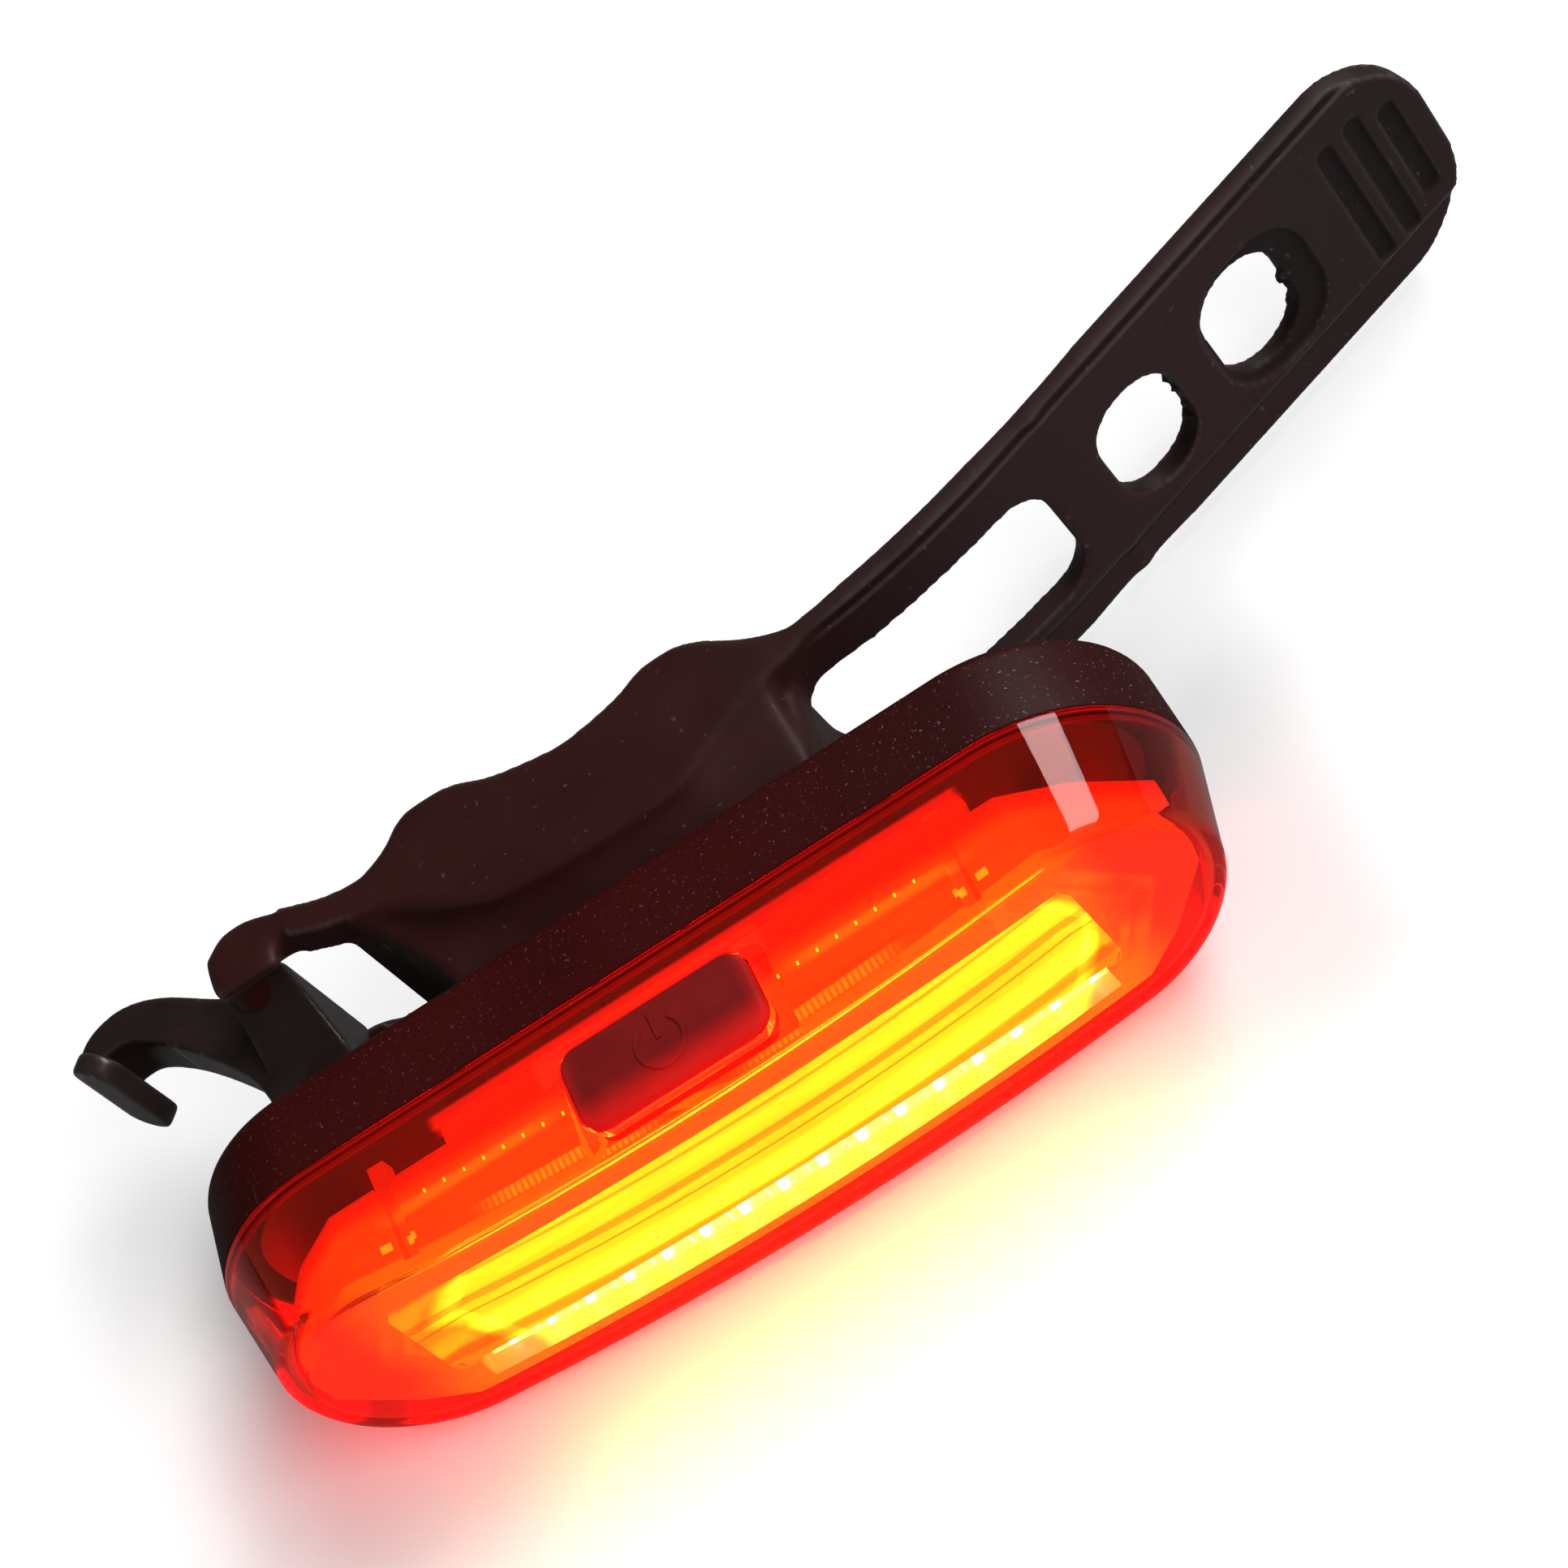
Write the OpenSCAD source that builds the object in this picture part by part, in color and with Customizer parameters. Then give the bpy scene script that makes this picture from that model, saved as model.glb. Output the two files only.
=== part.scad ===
// Bicycle rear light with a rubber seat-post strap
// Origin: the deepest point of the saddle, where the seat post rests.
// +Z is up along the post, -Y is the way the light shines, +X runs to the strap's free end.

/* [Housing] */
// Straight run between the centres of the two round ends
body_run = 51; // [40:0.5:60]
// End radius where the housing meets the lens
rim_r = 11.5; // [10.8:0.05:12.4]
// How much smaller the end radius is at the housing's back
back_inset = 0.45; // [0.2:0.05:1.2]
// Depth of the rear housing
base_d = 7.1; // [6.4:0.1:9]
// Wall of the rear housing
wall = 1.6; // [1.3:0.1:2]
// Round of the housing's back edge
back_edge = 1.4; // [0.6:0.1:2]

/* [Lens] */
// Depth of the lens from the joint to the crown of its front
lens_d = 11.2; // [10.4:0.1:13]
// End radius of the lens at its front edge
front_r = 10.15; // [9.4:0.05:10.6]
// Wall of the lens
lens_wall = 1.4; // [1:0.1:1.6]
// Round of the lens's front edge
lens_edge = 1.8; // [1.6:0.1:2.4]
// Radius of the crowned front
crown_r = 245; // [200:5:400]
// Length of the lens's tongue inside the housing rim
tongue_l = 0.8; // [0.6:0.1:1]
// Thickness of the lens's tongue
tongue_t = 0.55; // [0.45:0.05:0.7]
// Thickness of the rim seal
seal_t = 0.3; // [0.2:0.05:0.4]

/* [Reflector] */
// Running room between the reflector and the lens
reflector_gap = 0.5; // [0.35:0.05:0.8]
// Depth of the reflector's back behind the joint plane
reflector_back = 3.1; // [2.8:0.1:3.4]
// Half height of the light trough at its mouth
mouth_h = 5.7; // [5.4:0.1:6]
// Half height of the light trough at its floor
floor_h = 2.4; // [1.6:0.1:3]
// Depth of the trough floor behind the joint plane
floor_y = 4.4; // [3.8:0.1:4.8]
// Half length of the trough at its mouth
mouth_l = 27.4; // [26.4:0.2:28]
// Half length of the trough along its upper and lower edges
mouth_edge = 24.8; // [24.6:0.1:25.4]
// Slope of the trough's end facets, as run over depth
end_slope = 0.9; // [0.5:0.1:1.2]

/* [LED row] */
// Number of LED chips
led_count = 16; // [12:1:17]
// Spacing of the LED chips
led_pitch = 3.05; // [2.8:0.05:3.2]
// Width of the LED strip
strip_w = 2.2; // [2:0.1:2.4]
// Thickness of the LED strip
strip_t = 0.4; // [0.3:0.05:0.6]
// Height of an LED chip
chip_t = 0.5; // [0.3:0.1:0.7]

/* [Button] */
// Length of the button
button_l = 14; // [12:0.5:16]
// Width of the button
button_w = 6; // [5.4:0.2:6]
// Depth of the button's middle in front of the joint plane
button_y = 6.2; // [5.8:0.1:6.2]
// Corner round of the button
button_r = 1.5; // [1:0.1:2]
// Height of the button above the lens
button_rise = 0.45; // [0.2:0.05:0.8]
// Travel of the button
button_travel = 0.45; // [0.3:0.05:0.5]
// Gap around the button
button_gap = 0.2; // [0.15:0.05:0.3]
// Ledge that keeps the button in
button_ledge = 0.8; // [0.6:0.1:1]
// Thickness of that ledge
ledge_t = 0.6; // [0.5:0.1:0.7]

/* [Electronics] */
// Thickness of the main circuit board
pcb_t = 0.8; // [0.6:0.1:1]
// End radius of the main circuit board
pcb_r = 8.6; // [8:0.1:8.8]
// Straight run of the main circuit board
pcb_run = 50; // [48:0.5:51]
// Depth of the board's front face behind the joint plane
pcb_y = 1; // [0.8:0.05:1.1]
// Length of the battery
batt_l = 36; // [30:1:38]
// Width of the battery
batt_w = 17; // [14:0.5:17]
// Thickness of the battery's adhesive pad
pad_t = 0.5; // [0.3:0.1:0.7]
// Gap between the battery and the circuit board
batt_gap = 0.4; // [0.3:0.1:0.6]
// Middle of the battery along the light
batt_x = -6; // [-7:0.5:-5]
// Middle of the charging socket along the light
port_x = 20; // [18:0.5:21]
// Spacing of the two board screws
screw_pitch = 55; // [53:0.5:56]

/* [Strap] */
// Distance from the housing's back to the saddle
saddle_h = 12.6; // [11.5:0.1:15]
// Width across the saddle's two horns
saddle_w = 21.8; // [20:0.2:24]
// Depth of the saddle's hollow
hollow_d = 2.2; // [1.6:0.1:2.8]
// Width of the strap
strap_w = 20.2; // [18.6:0.2:21.6]
// Thickness of the strap
strap_t = 2; // [1.8:0.1:2.6]
// Width of the neck on the housing
neck_w = 15.2; // [14:0.2:16]
// Bend radius of the tail's root
tail_bend_r = 75; // [60:5:100]
// Angle of the tail at its root
tail_a0 = 6; // [4:0.5:8]
// Angle of the straight tail
tail_a1 = 19.5; // [17:0.5:22]
// Length of the straight tail
tail_l = 37.7; // [36.5:0.1:44]
// Corner round of the tail's tip
tip_r = 7.5; // [5:0.5:8.5]
// Lower margin of the tail's raised face
low_margin = 3.2; // [2:0.2:3.6]
// Upper margin of the tail's raised face
high_margin = 0.7; // [0.4:0.1:1.4]
// Height of the raised face
face_t = 0.35; // [0.2:0.05:0.5]
// Width of the slot
slot_w = 11; // [9:0.2:11.4]
// Length of a strap hole
hole_l = 7; // [6.6:0.2:7.4]
// Width of a strap hole
hole_w = 9.8; // [8:0.2:10.4]
// Spacing of the strap holes
hole_pitch = 10.6; // [10.2:0.1:11.6]

/* [Hook] */
// Place of the hook's foot along the light
hook_x = -25.1; // [-26:0.1:-24.6]
// Width of the hook's arm
hook_w = 5; // [4:0.2:5.4]
// Width of the hook's cross bar
bar_w = 9.6; // [9:0.2:12]
// Height of the cross bar
bar_h = 3.8; // [3.4:0.2:5]
// Thickness of the cross bar
bar_t = 1.7; // [1.4:0.1:2]
// Thickness of the hook's arm
hook_t = 3; // [2.6:0.1:3.2]
// Reach of the hook beyond its foot
hook_reach = 16.6; // [16:0.2:18]
// Height of the hook above the housing's back
hook_h = 20.5; // [19.5:0.1:22]

/* [Hidden] */
$fn = 64;
eps = 0.01;

// Small clearance between pieces that are assembled and stay still
seat = 0.05;
// Clearance between pieces that move
play = 0.3;

back_r = rim_r - back_inset;
y_back = -saddle_h;
y_joint = y_back - base_d;
y_front = y_joint - lens_d;
lens_taper = (rim_r - front_r) / (lens_d - lens_edge);
wall_tilt = atan(lens_taper);
rebate_d = tongue_l + seal_t;
tongue_out = rim_r - lens_wall + tongue_t;
inner_back = base_d - wall;

// Points of an arc, from angle a to angle b
function arc(centre, r, a, b, steps) =
    [for (i = [0:steps]) centre + r * [cos(a + (b - a) * i / steps), sin(a + (b - a) * i / steps)]];

// A smooth curve through points that may carry a width as a third value
function blend_point(p, q, r, s, t) =
    0.5 * (2 * q + (r - p) * t + (2 * p - 5 * q + 4 * r - s) * t * t + (3 * q - p - 3 * r + s) * t * t * t);
function smooth(p, steps) = [
    for (i = [0:len(p) - 2])
        for (j = [0:steps - 1])
            blend_point(p[max(i - 1, 0)], p[i], p[i + 1], p[min(i + 2, len(p) - 1)], j / steps),
    p[len(p) - 1]];
function flat(p) = [p[0], p[1]];
function side_of(p, i) =
    let (d = flat(p[min(i + 1, len(p) - 1)]) - flat(p[max(i - 1, 0)])) [-d[1], d[0]] / norm(d);
// Outline of a band that follows a path of [x, y, width]
function ribbon(p) = concat(
    [for (i = [0:len(p) - 1]) flat(p[i]) + side_of(p, i) * p[i][2] / 2],
    [for (i = [len(p) - 1:-1:0]) flat(p[i]) - side_of(p, i) * p[i][2] / 2]);

// Sweeps a half profile of [radius, depth] round the stadium outline, with depth along +Y
module track(run) {
    for (side = [-1, 1])
        translate([side * run / 2, 0, 0]) rotate([-90, 0, 0])
            rotate([0, 0, -90 * side]) rotate_extrude(angle = 180) children();
    rotate([0, 90, 0]) linear_extrude(height = run, center = true) {
        children();
        mirror([1, 0, 0]) children();
    }
}

// A plate with the stadium outline, from depth y to y + t
module track_plate(run, r, y, t) {
    translate([0, y, 0]) track(run) square([r, t]);
}

// Extrudes an X-Y outline along Z, centred
module upright(width) {
    linear_extrude(height = width, center = true) children();
}

// Extrudes an X-Z outline along Y, centred
module faced(depth) {
    rotate([90, 0, 0]) linear_extrude(height = depth, center = true) children();
}

// A box with rounded corners in plan, centred, standing on z = 0
module rounded_plate(l, w, r, h) {
    linear_extrude(height = h) rounded_plan(l, w, r);
}

module rounded_plan(l, w, r) {
    square([l - 2 * r, w], center = true);
    square([l, w - 2 * r], center = true);
    for (x = [-1, 1], y = [-1, 1])
        translate([x * (l / 2 - r), y * (w / 2 - r)]) circle(r);
}

// Rear housing: a tapered tub with a rim rebate, screw bosses, a strap rail and the port opening
boss_r = 2.4;
pilot_r = 0.75;
pilot_l = 3.4;
rail_l = 18;
rail_x = 2;
rail_h = 2.2;
rail_neck = 7;
rail_flare = 0.7;
foot_l = 6.6;
foot_d = 1;
port_w = 8.2;
port_h = 3;
socket_t = 2.6;
port_y = pcb_y + pcb_t + socket_t / 2;
cover_l = 13;
cover_w = 3.2;
cover_t = 0.7;
cover_gap = 0.2;
cover_floor = -(rim_r - wall) - 0.75;

function housing_outer() = concat(
    [[0, base_d]],
    [for (p = arc([back_r - back_edge, base_d - back_edge], back_edge, 90, 0, 6)) p],
    [[rim_r, 0], [0, 0]]);

module housing_tub() {
    difference() {
        track(body_run) polygon(housing_outer());
        track(body_run) polygon([[0, inner_back], [back_r - wall, inner_back],
            [rim_r - wall, 0], [rim_r - wall, -1], [0, -1]]);
        track_plate(body_run, tongue_out + seat, -1, rebate_d + 1);
    }
}

module strap_rail(room) {
    translate([rail_x, 0, 0]) rotate([0, 90, 0]) linear_extrude(height = rail_l + 2 * room, center = true)
        polygon([[-rail_neck / 2 - room, 0], [rail_neck / 2 + room, 0],
            [rail_neck / 2 + rail_flare + room, rail_h + room], [-rail_neck / 2 - rail_flare - room, rail_h + room]]);
}

module rear_housing() color([0.09, 0.07, 0.07]) {
    difference() {
        translate([0, y_joint, 0]) union() {
            housing_tub();
            for (side = [-1, 1])
                translate([side * screw_pitch / 2, pcb_y + pcb_t, 0]) rotate([-90, 0, 0])
                    cylinder(r = boss_r, h = inner_back - pcb_y - pcb_t + 0.4);
        }
        for (side = [-1, 1])
            translate([side * screw_pitch / 2, y_joint, 0]) rotate([-90, 0, 0])
                cylinder(r = pilot_r, h = pcb_y + pcb_t + pilot_l);
        translate([port_x, y_joint + port_y, -rim_r - 1]) rounded_plate(port_w, port_h, 1.2, rim_r - back_r + wall + 3);
        translate([port_x, y_joint + port_y, -rim_r - 1])
            rounded_plate(cover_l + 2 * cover_gap, cover_w + 2 * cover_gap, 1.2, cover_floor + rim_r + 1);
        translate([hook_x - foot_l / 2, y_back - foot_d, -hook_w / 2])
            cube([foot_l, foot_d + 1, hook_w]);
    }
    translate([0, y_back - eps, 0]) strap_rail(0);
}

// Lens: a lofted shell, tapered to the front, with a crowned face and a round front edge
arc_steps = 16;
run_steps = 6;

function end_plan(r, side) =
    [for (i = [0:arc_steps]) [side * body_run / 2 + r * cos(side > 0 ? -90 + 180 * i / arc_steps : 90 + 180 * i / arc_steps),
        r * sin(side > 0 ? -90 + 180 * i / arc_steps : 90 + 180 * i / arc_steps)]];
function run_plan(r, side) =
    [for (i = [1:run_steps]) [side * body_run * (0.5 - i / (run_steps + 1)), side * r]];
function plan(r) = concat(end_plan(r, 1), run_plan(r, 1), end_plan(r, -1), run_plan(r, -1));
// One ring of the loft: crown is 1 where the ring follows the crowned front, 0 where it is flat
function lens_ring(r, y, crown) = [for (p = plan(r)) [p[0], y + crown * p[0] * p[0] / (2 * crown_r), p[1]]];
ring_n = 2 * (arc_steps + 1) + 2 * run_steps;
function front_rings(r, y, edge) =
    [for (a = [0:15:90]) lens_ring(r - edge * (1 - cos(a)), y + edge * (1 - sin(a)), 1)];

// An end face of the loft, closed by strips between the ring's upper and lower points
function strip_pairs() = concat(
    [for (i = [arc_steps / 2 - 1:-1:0]) [i, arc_steps - i]],
    [for (i = [0:run_steps - 1]) [ring_n - 1 - i, arc_steps + 1 + i]],
    [for (i = [0:arc_steps / 2 - 1]) [2 * arc_steps + run_steps + 1 - i, arc_steps + run_steps + 1 + i]]);
function end_faces(base) =
    let (s = strip_pairs(), tip_a = arc_steps / 2, tip_b = arc_steps + run_steps + 1 + arc_steps / 2)
    concat(
        [[base + tip_a, base + s[0][0], base + s[0][1]]],
        [for (i = [0:len(s) - 2]) each [
            [base + s[i][0], base + s[i + 1][0], base + s[i + 1][1]],
            [base + s[i][0], base + s[i + 1][1], base + s[i][1]]]],
        [[base + s[len(s) - 1][0], base + tip_b, base + s[len(s) - 1][1]]]);
function turned(faces) = [for (f = faces) [f[0], f[2], f[1]]];

module lens_loft(r0, y0, r1, y1, edge) {
    rings = concat([lens_ring(r0, y0, 0)], front_rings(r1, y1, edge));
    sides = [for (k = [0:len(rings) - 2], i = [0:ring_n - 1]) let (j = (i + 1) % ring_n) each [
        [k * ring_n + i, (k + 1) * ring_n + j, k * ring_n + j],
        [k * ring_n + i, (k + 1) * ring_n + i, (k + 1) * ring_n + j]]];
    polyhedron([for (ring = rings) each ring],
        concat(sides, turned(end_faces(0)), end_faces((len(rings) - 1) * ring_n)));
}

// The button's own axes: origin on the lens's upper wall, z out of the wall
module on_button() {
    translate([0, y_joint - button_y, rim_r - button_y * lens_taper]) rotate([wall_tilt, 0, 0]) children();
}

module lens() color([0.85, 0.02, 0.02, 0.55]) {
    difference() {
        lens_loft(rim_r, y_joint, front_r, y_front, lens_edge);
        lens_loft(rim_r - lens_wall, y_joint + eps, front_r - lens_wall, y_front + lens_wall, 0.6);
        on_button() translate([0, 0, -3])
            rounded_plate(button_l + 2 * button_gap, button_w + 2 * button_gap, button_r + button_gap, 5);
    }
    translate([0, y_joint, 0]) track(body_run)
        translate([rim_r - lens_wall, -eps]) square([tongue_t, tongue_l + eps]);
}

module rim_seal() color([0.12, 0.12, 0.12])
    translate([0, y_joint, 0]) track(body_run)
        translate([rim_r - wall, tongue_l]) square([tongue_out - rim_r + wall, seal_t]);

// Reflector: a white block that fills the lens, with the faceted light trough and its posts
post_r = 1.3;
post_x = 17;
screw_head_r = 1.9;
screw_head_t = 1.2;
pocket_l = 12;
pocket_w = 4.2;
switch_back = 1.3;
nub_t = 0.4;
plunger_free = 0.6;
switch_t = 1.1;
switch_board_t = 0.5;
touch = 0.05;
ledge_top = -lens_wall / cos(wall_tilt) - 0.15;
nub_end = ledge_top - ledge_t - nub_t;
plunger_top = nub_end - touch;
switch_top = plunger_top - plunger_free;
switch_foot = switch_top - switch_t;
seat_z = switch_foot - switch_board_t;
reflector_back_r = rim_r - reflector_back * lens_taper - lens_wall - reflector_gap;
reflector_front_r = front_r - lens_wall - reflector_gap;
mouth_y = lens_d - lens_wall - reflector_gap;
// The frame's end facets: two corners as shares of its end radius, and the half height of the trough's tip
knee = [0.46, 0.66];
tip = [0.88, 0.17];
trough_tip = 1.6;
// A rib and two clips stand on the frame's back edge
rib_x0 = -16.3;
rib_x1 = 23.7;
rib_t = 0.9;
rib_d = 1.4;
rib_inset = 0.2;
clip_x = 21.4;
clip_w = 1.2;
clip_d = 1.7;
clip_t = 1.4;
clip_groove = 0.35;

module trough() {
    mid_h = (mouth_h + floor_h) / 2 + 0.5;
    mid_y = (mouth_y + floor_y) / 2;
    intersection() {
        rotate([0, 90, 0]) linear_extrude(height = 2 * mouth_l + 4, center = true)
            polygon([[-floor_h, -floor_y], [floor_h, -floor_y], [mid_h, -mid_y], [mouth_h, -mouth_y],
                [mouth_h, -mouth_y - 2], [-mouth_h, -mouth_y - 2], [-mouth_h, -mouth_y], [-mid_h, -mid_y]]);
        faced(2 * lens_d) polygon([for (side = [-1, 1]) each [[side * mouth_edge, side * (mouth_h + 1)],
            [side * mouth_l, side * trough_tip], [side * mouth_l, -side * trough_tip], [side * mouth_edge, -side * (mouth_h + 1)]]]);
        upright(2 * mouth_h + 2)
            polygon([[-mouth_l + (mouth_y - floor_y) * end_slope, -floor_y], [mouth_l - (mouth_y - floor_y) * end_slope, -floor_y],
                [mouth_l, -mouth_y], [mouth_l, -mouth_y - 2], [-mouth_l, -mouth_y - 2], [-mouth_l, -mouth_y]]);
    }
}

function frame_corner(side, up, share) =
    [side * (body_run / 2 + share[0] * reflector_back_r), up * share[1] * reflector_back_r];

module reflector_block() {
    intersection() {
        track(body_run) polygon([[0, -reflector_back], [reflector_back_r, -reflector_back],
            [reflector_front_r, lens_edge - lens_d], [reflector_front_r, -lens_d], [0, -lens_d]]);
        translate([0, crown_r - lens_d, 0])
            cylinder(r = crown_r - lens_wall - reflector_gap, h = 4 * rim_r, center = true, $fn = 256);
        faced(2 * lens_d) polygon([for (side = [-1, 1]) each [frame_corner(side, side, [0, 1]), frame_corner(side, side, knee),
            frame_corner(side, side, tip), frame_corner(side, -side, tip), frame_corner(side, -side, knee),
            frame_corner(side, -side, [0, 1])]]);
    }
    translate([rib_x0, -reflector_back - eps, reflector_back_r - rib_inset - rib_t]) cube([rib_x1 - rib_x0, rib_d + eps, rib_t]);
    for (side = [-1, 1])
        translate([side * clip_x - clip_w / 2, -reflector_back - eps, reflector_back_r - rib_inset - clip_t])
            cube([clip_w, clip_d + eps, clip_t]);
}

// Grooves across the frame's upper face, in line with its clips
module clip_grooves() {
    for (side = [-1, 1])
        translate([side * clip_x, -reflector_back, reflector_back_r - clip_groove]) rotate([wall_tilt, 0, 0])
            translate([-clip_w / 2, -lens_d + lens_edge + reflector_back, 0]) cube([clip_w, lens_d, 2]);
}

// The LED strip follows the crown of the lens, in a channel of the trough's lower lip that is open to the front
strip_back = 2.3;
strip_drop = 1.05;
strip_tilt = 75;
strip_room = 3;
chip_l = 1.6;
chip_w = 1.2;
chip_r = 0.3;
strip_bend_r = crown_r - lens_d + mouth_y - strip_back;
strip_z = -(mouth_h + strip_drop);
strip_l = (led_count - 1) * led_pitch + 3;

// A point of the strip's cross section, across the strip and out of its face, as [radius, height]
function strip_point(across, out) = [strip_bend_r - across * cos(strip_tilt) + out * sin(strip_tilt),
    strip_z + across * sin(strip_tilt) + out * cos(strip_tilt)];

module strip_band(l, w, t) {
    bend = l / strip_bend_r * 180 / PI;
    translate([0, y_front + crown_r, 0]) rotate([0, 0, -90 - bend / 2]) rotate_extrude(angle = bend, $fn = 720)
        polygon([strip_point(-w / 2, 0), strip_point(w / 2, 0), strip_point(w / 2, t), strip_point(-w / 2, t)]);
}

module on_strip(s) {
    translate([0, y_front + crown_r, 0]) rotate([0, 0, s / strip_bend_r * 180 / PI])
        translate([0, -strip_bend_r, strip_z]) rotate([strip_tilt, 0, 0]) children();
}

module reflector() color([0.92, 0.9, 0.86]) {
    difference() {
        translate([0, y_joint, 0]) reflector_block();
        translate([0, y_joint, 0]) trough();
        translate([0, y_joint, 0]) clip_grooves();
        strip_band(strip_l + 2 * seat, strip_w + 2 * seat, strip_room);
        on_button() translate([-pocket_l / 2, switch_back - pocket_w / 2, seat_z]) cube([pocket_l, pocket_w + 6, 12]);
        on_button() translate([0, 0, nub_end - button_travel - play])
            rounded_plate(button_l + 2 * button_ledge + 2 * play, button_w + 2 * button_ledge + 2 * play, button_r, 12);
        for (side = [-1, 1])
            translate([side * pin_x - pin_r - play, y_joint - button_y, switch_pin_z - pin_r - play])
                cube([2 * (pin_r + play), button_y, 12]);
    }
    for (side = [-1, 1])
        translate([side * post_x, y_joint - reflector_back - eps, 0]) rotate([-90, 0, 0])
            cylinder(r = post_r, h = reflector_back + pcb_y + eps);
}

module led_strip() color([0.95, 0.95, 0.9])
    strip_band(strip_l, strip_w, strip_t);

module led_chips() color([1, 0.85, 0.3])
    for (i = [0:led_count - 1])
        on_strip((i - (led_count - 1) / 2) * led_pitch) translate([0, 0, strip_t])
            rounded_plate(chip_l, chip_w, chip_r, chip_t);

// Button: a rubber pad in the lens wall, with a ledge inside and a nub over the switch
module power_button() color([0.22, 0.02, 0.02])
    on_button() {
        translate([0, 0, ledge_top]) rounded_plate(button_l, button_w, button_r, button_rise - ledge_top);
        translate([0, button_ledge / 2, ledge_top - ledge_t])
            rounded_plate(button_l + 2 * button_ledge, button_w + button_ledge, button_r, ledge_t);
        translate([0, switch_back, nub_end]) cylinder(r = 1.3, h = nub_t);
    }

module switch_plunger() color([0.85, 0.85, 0.85])
    on_button() translate([0, switch_back, switch_foot + 0.35])
        cylinder(r = 0.8, h = plunger_top - switch_foot - 0.35);

module tact_switch() color([0.15, 0.15, 0.16])
    on_button() difference() {
        translate([0, switch_back, switch_foot]) rounded_plate(4.2, 3.4, 0.3, switch_t);
        translate([0, switch_back, switch_foot - 1]) cylinder(r = 0.9, h = switch_t + 2);
    }

module switch_board() color([0.1, 0.35, 0.2])
    on_button() difference() {
        translate([0, switch_back, seat_z]) rounded_plate(pocket_l - 2 * play, pocket_w - 2 * play, 0.5, switch_board_t);
        translate([0, switch_back, seat_z - 1]) cylinder(r = 0.9, h = switch_board_t + 2);
    }

pin_x = 3.5;
pin_r = 0.35;

module switch_pins() color([0.8, 0.65, 0.3])
    for (side = [-1, 1])
        difference() {
            translate([side * pin_x, y_joint + pcb_y, switch_pin_z]) rotate([90, 0, 0]) cylinder(r = pin_r, h = button_y);
            on_button() translate([-20, -20 + switch_back + pocket_w / 2 - play, -20]) cube([40, 20, 40]);
        }

switch_pin_z = rim_r - button_y * lens_taper + (seat_z + switch_board_t / 2) * cos(wall_tilt)
    + (switch_back + pocket_w / 2 - play) * sin(wall_tilt);

// Main board, its parts and the screws that hold it on the housing's bosses
module main_pcb() color([0.08, 0.32, 0.18])
    difference() {
        translate([0, y_joint, 0]) track_plate(pcb_run, pcb_r, pcb_y, pcb_t);
        for (side = [-1, 1])
            translate([side * screw_pitch / 2, y_joint, 0]) rotate([-90, 0, 0]) cylinder(r = 1.1, h = 3);
    }

module board_screws() color([0.75, 0.75, 0.77])
    for (side = [-1, 1])
        translate([side * screw_pitch / 2, y_joint + pcb_y, 0]) rotate([-90, 0, 0]) difference() {
            union() {
                translate([0, 0, -screw_head_t]) cylinder(r = screw_head_r, h = screw_head_t);
                cylinder(r = pilot_r - seat, h = pcb_t + pilot_l - 0.4);
            }
            for (turn = [0, 90])
                rotate([0, 0, turn]) translate([-1.1, -0.25, -screw_head_t - 1]) cube([2.2, 0.5, 1.6]);
        }

module chip(x, z, l, w, t) {
    translate([x, y_joint + pcb_y + pcb_t, z]) rotate([-90, 0, 0]) rounded_plate(l, w, 0.2, t);
}

// Places and sizes of the parts on the board's back
part_x = 16.5;
part_z = 4.5;
control_l = 5;
control_w = 4;
control_t = 1.5;
charge_x = part_x + 6.4;
charge_l = 3;
charge_t = 1.2;
small_l = 1.6;
small_w = 0.9;
small_t = 0.6;
small_pitch = 2.2;
small_z = 0.4;
socket_l = 7.5;
socket_d = 5.2;
socket_wall = 0.4;
socket_mouth = -(rim_r - wall) + 0.4;

module control_chip() color([0.07, 0.07, 0.08]) chip(part_x, part_z, control_l, control_w, control_t);
module charge_chip() color([0.07, 0.07, 0.08]) chip(charge_x, part_z, charge_l, charge_l, charge_t);
module small_components() color([0.5, 0.42, 0.32])
    for (i = [0:4]) chip(part_x - small_l + i * small_pitch, small_z, small_l, small_w, small_t);

module usb_socket() color([0.78, 0.78, 0.8])
    translate([port_x, y_joint + port_y, socket_mouth]) difference() {
        rounded_plate(socket_l, socket_t, 0.7, socket_d);
        translate([0, 0, -1])
            rounded_plate(socket_l - 2 * socket_wall, socket_t - 2 * socket_wall, 0.5, socket_d + 1 - socket_wall);
    }

// Port cover: a rubber lid in a shallow recess, with a plug, that swings about its end
hinge_x = port_x - cover_l / 2 + cover_t / 2;
hinge_z = cover_floor - play / 2 - cover_t / 2;
plug_l = port_w - 1;
plug_w = port_h - 0.7;

module usb_cover() color([0.06, 0.05, 0.05])
    translate([port_x, y_joint + port_y, 0]) {
        translate([cover_t / 4, 0, hinge_z - cover_t / 2]) rounded_plate(cover_l - cover_t / 2, cover_w, 0.9, cover_t);
        translate([hinge_x - port_x, cover_w / 2 - 0.9, hinge_z]) rotate([90, 0, 0]) cylinder(r = cover_t / 2, h = cover_w - 1.8);
        translate([0, 0, hinge_z]) rounded_plate(plug_l, plug_w, 0.8, cover_t / 2 + play / 2 + 0.55);
    }

// Battery: a flat pouch with round long edges on an adhesive pad, and its two leads
batt_y0 = pcb_y + pcb_t + batt_gap;
batt_t = inner_back - pad_t - batt_y0;
pad_inset = 3;
lead_r = 0.5;
lead_bend = 0.9;

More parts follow.
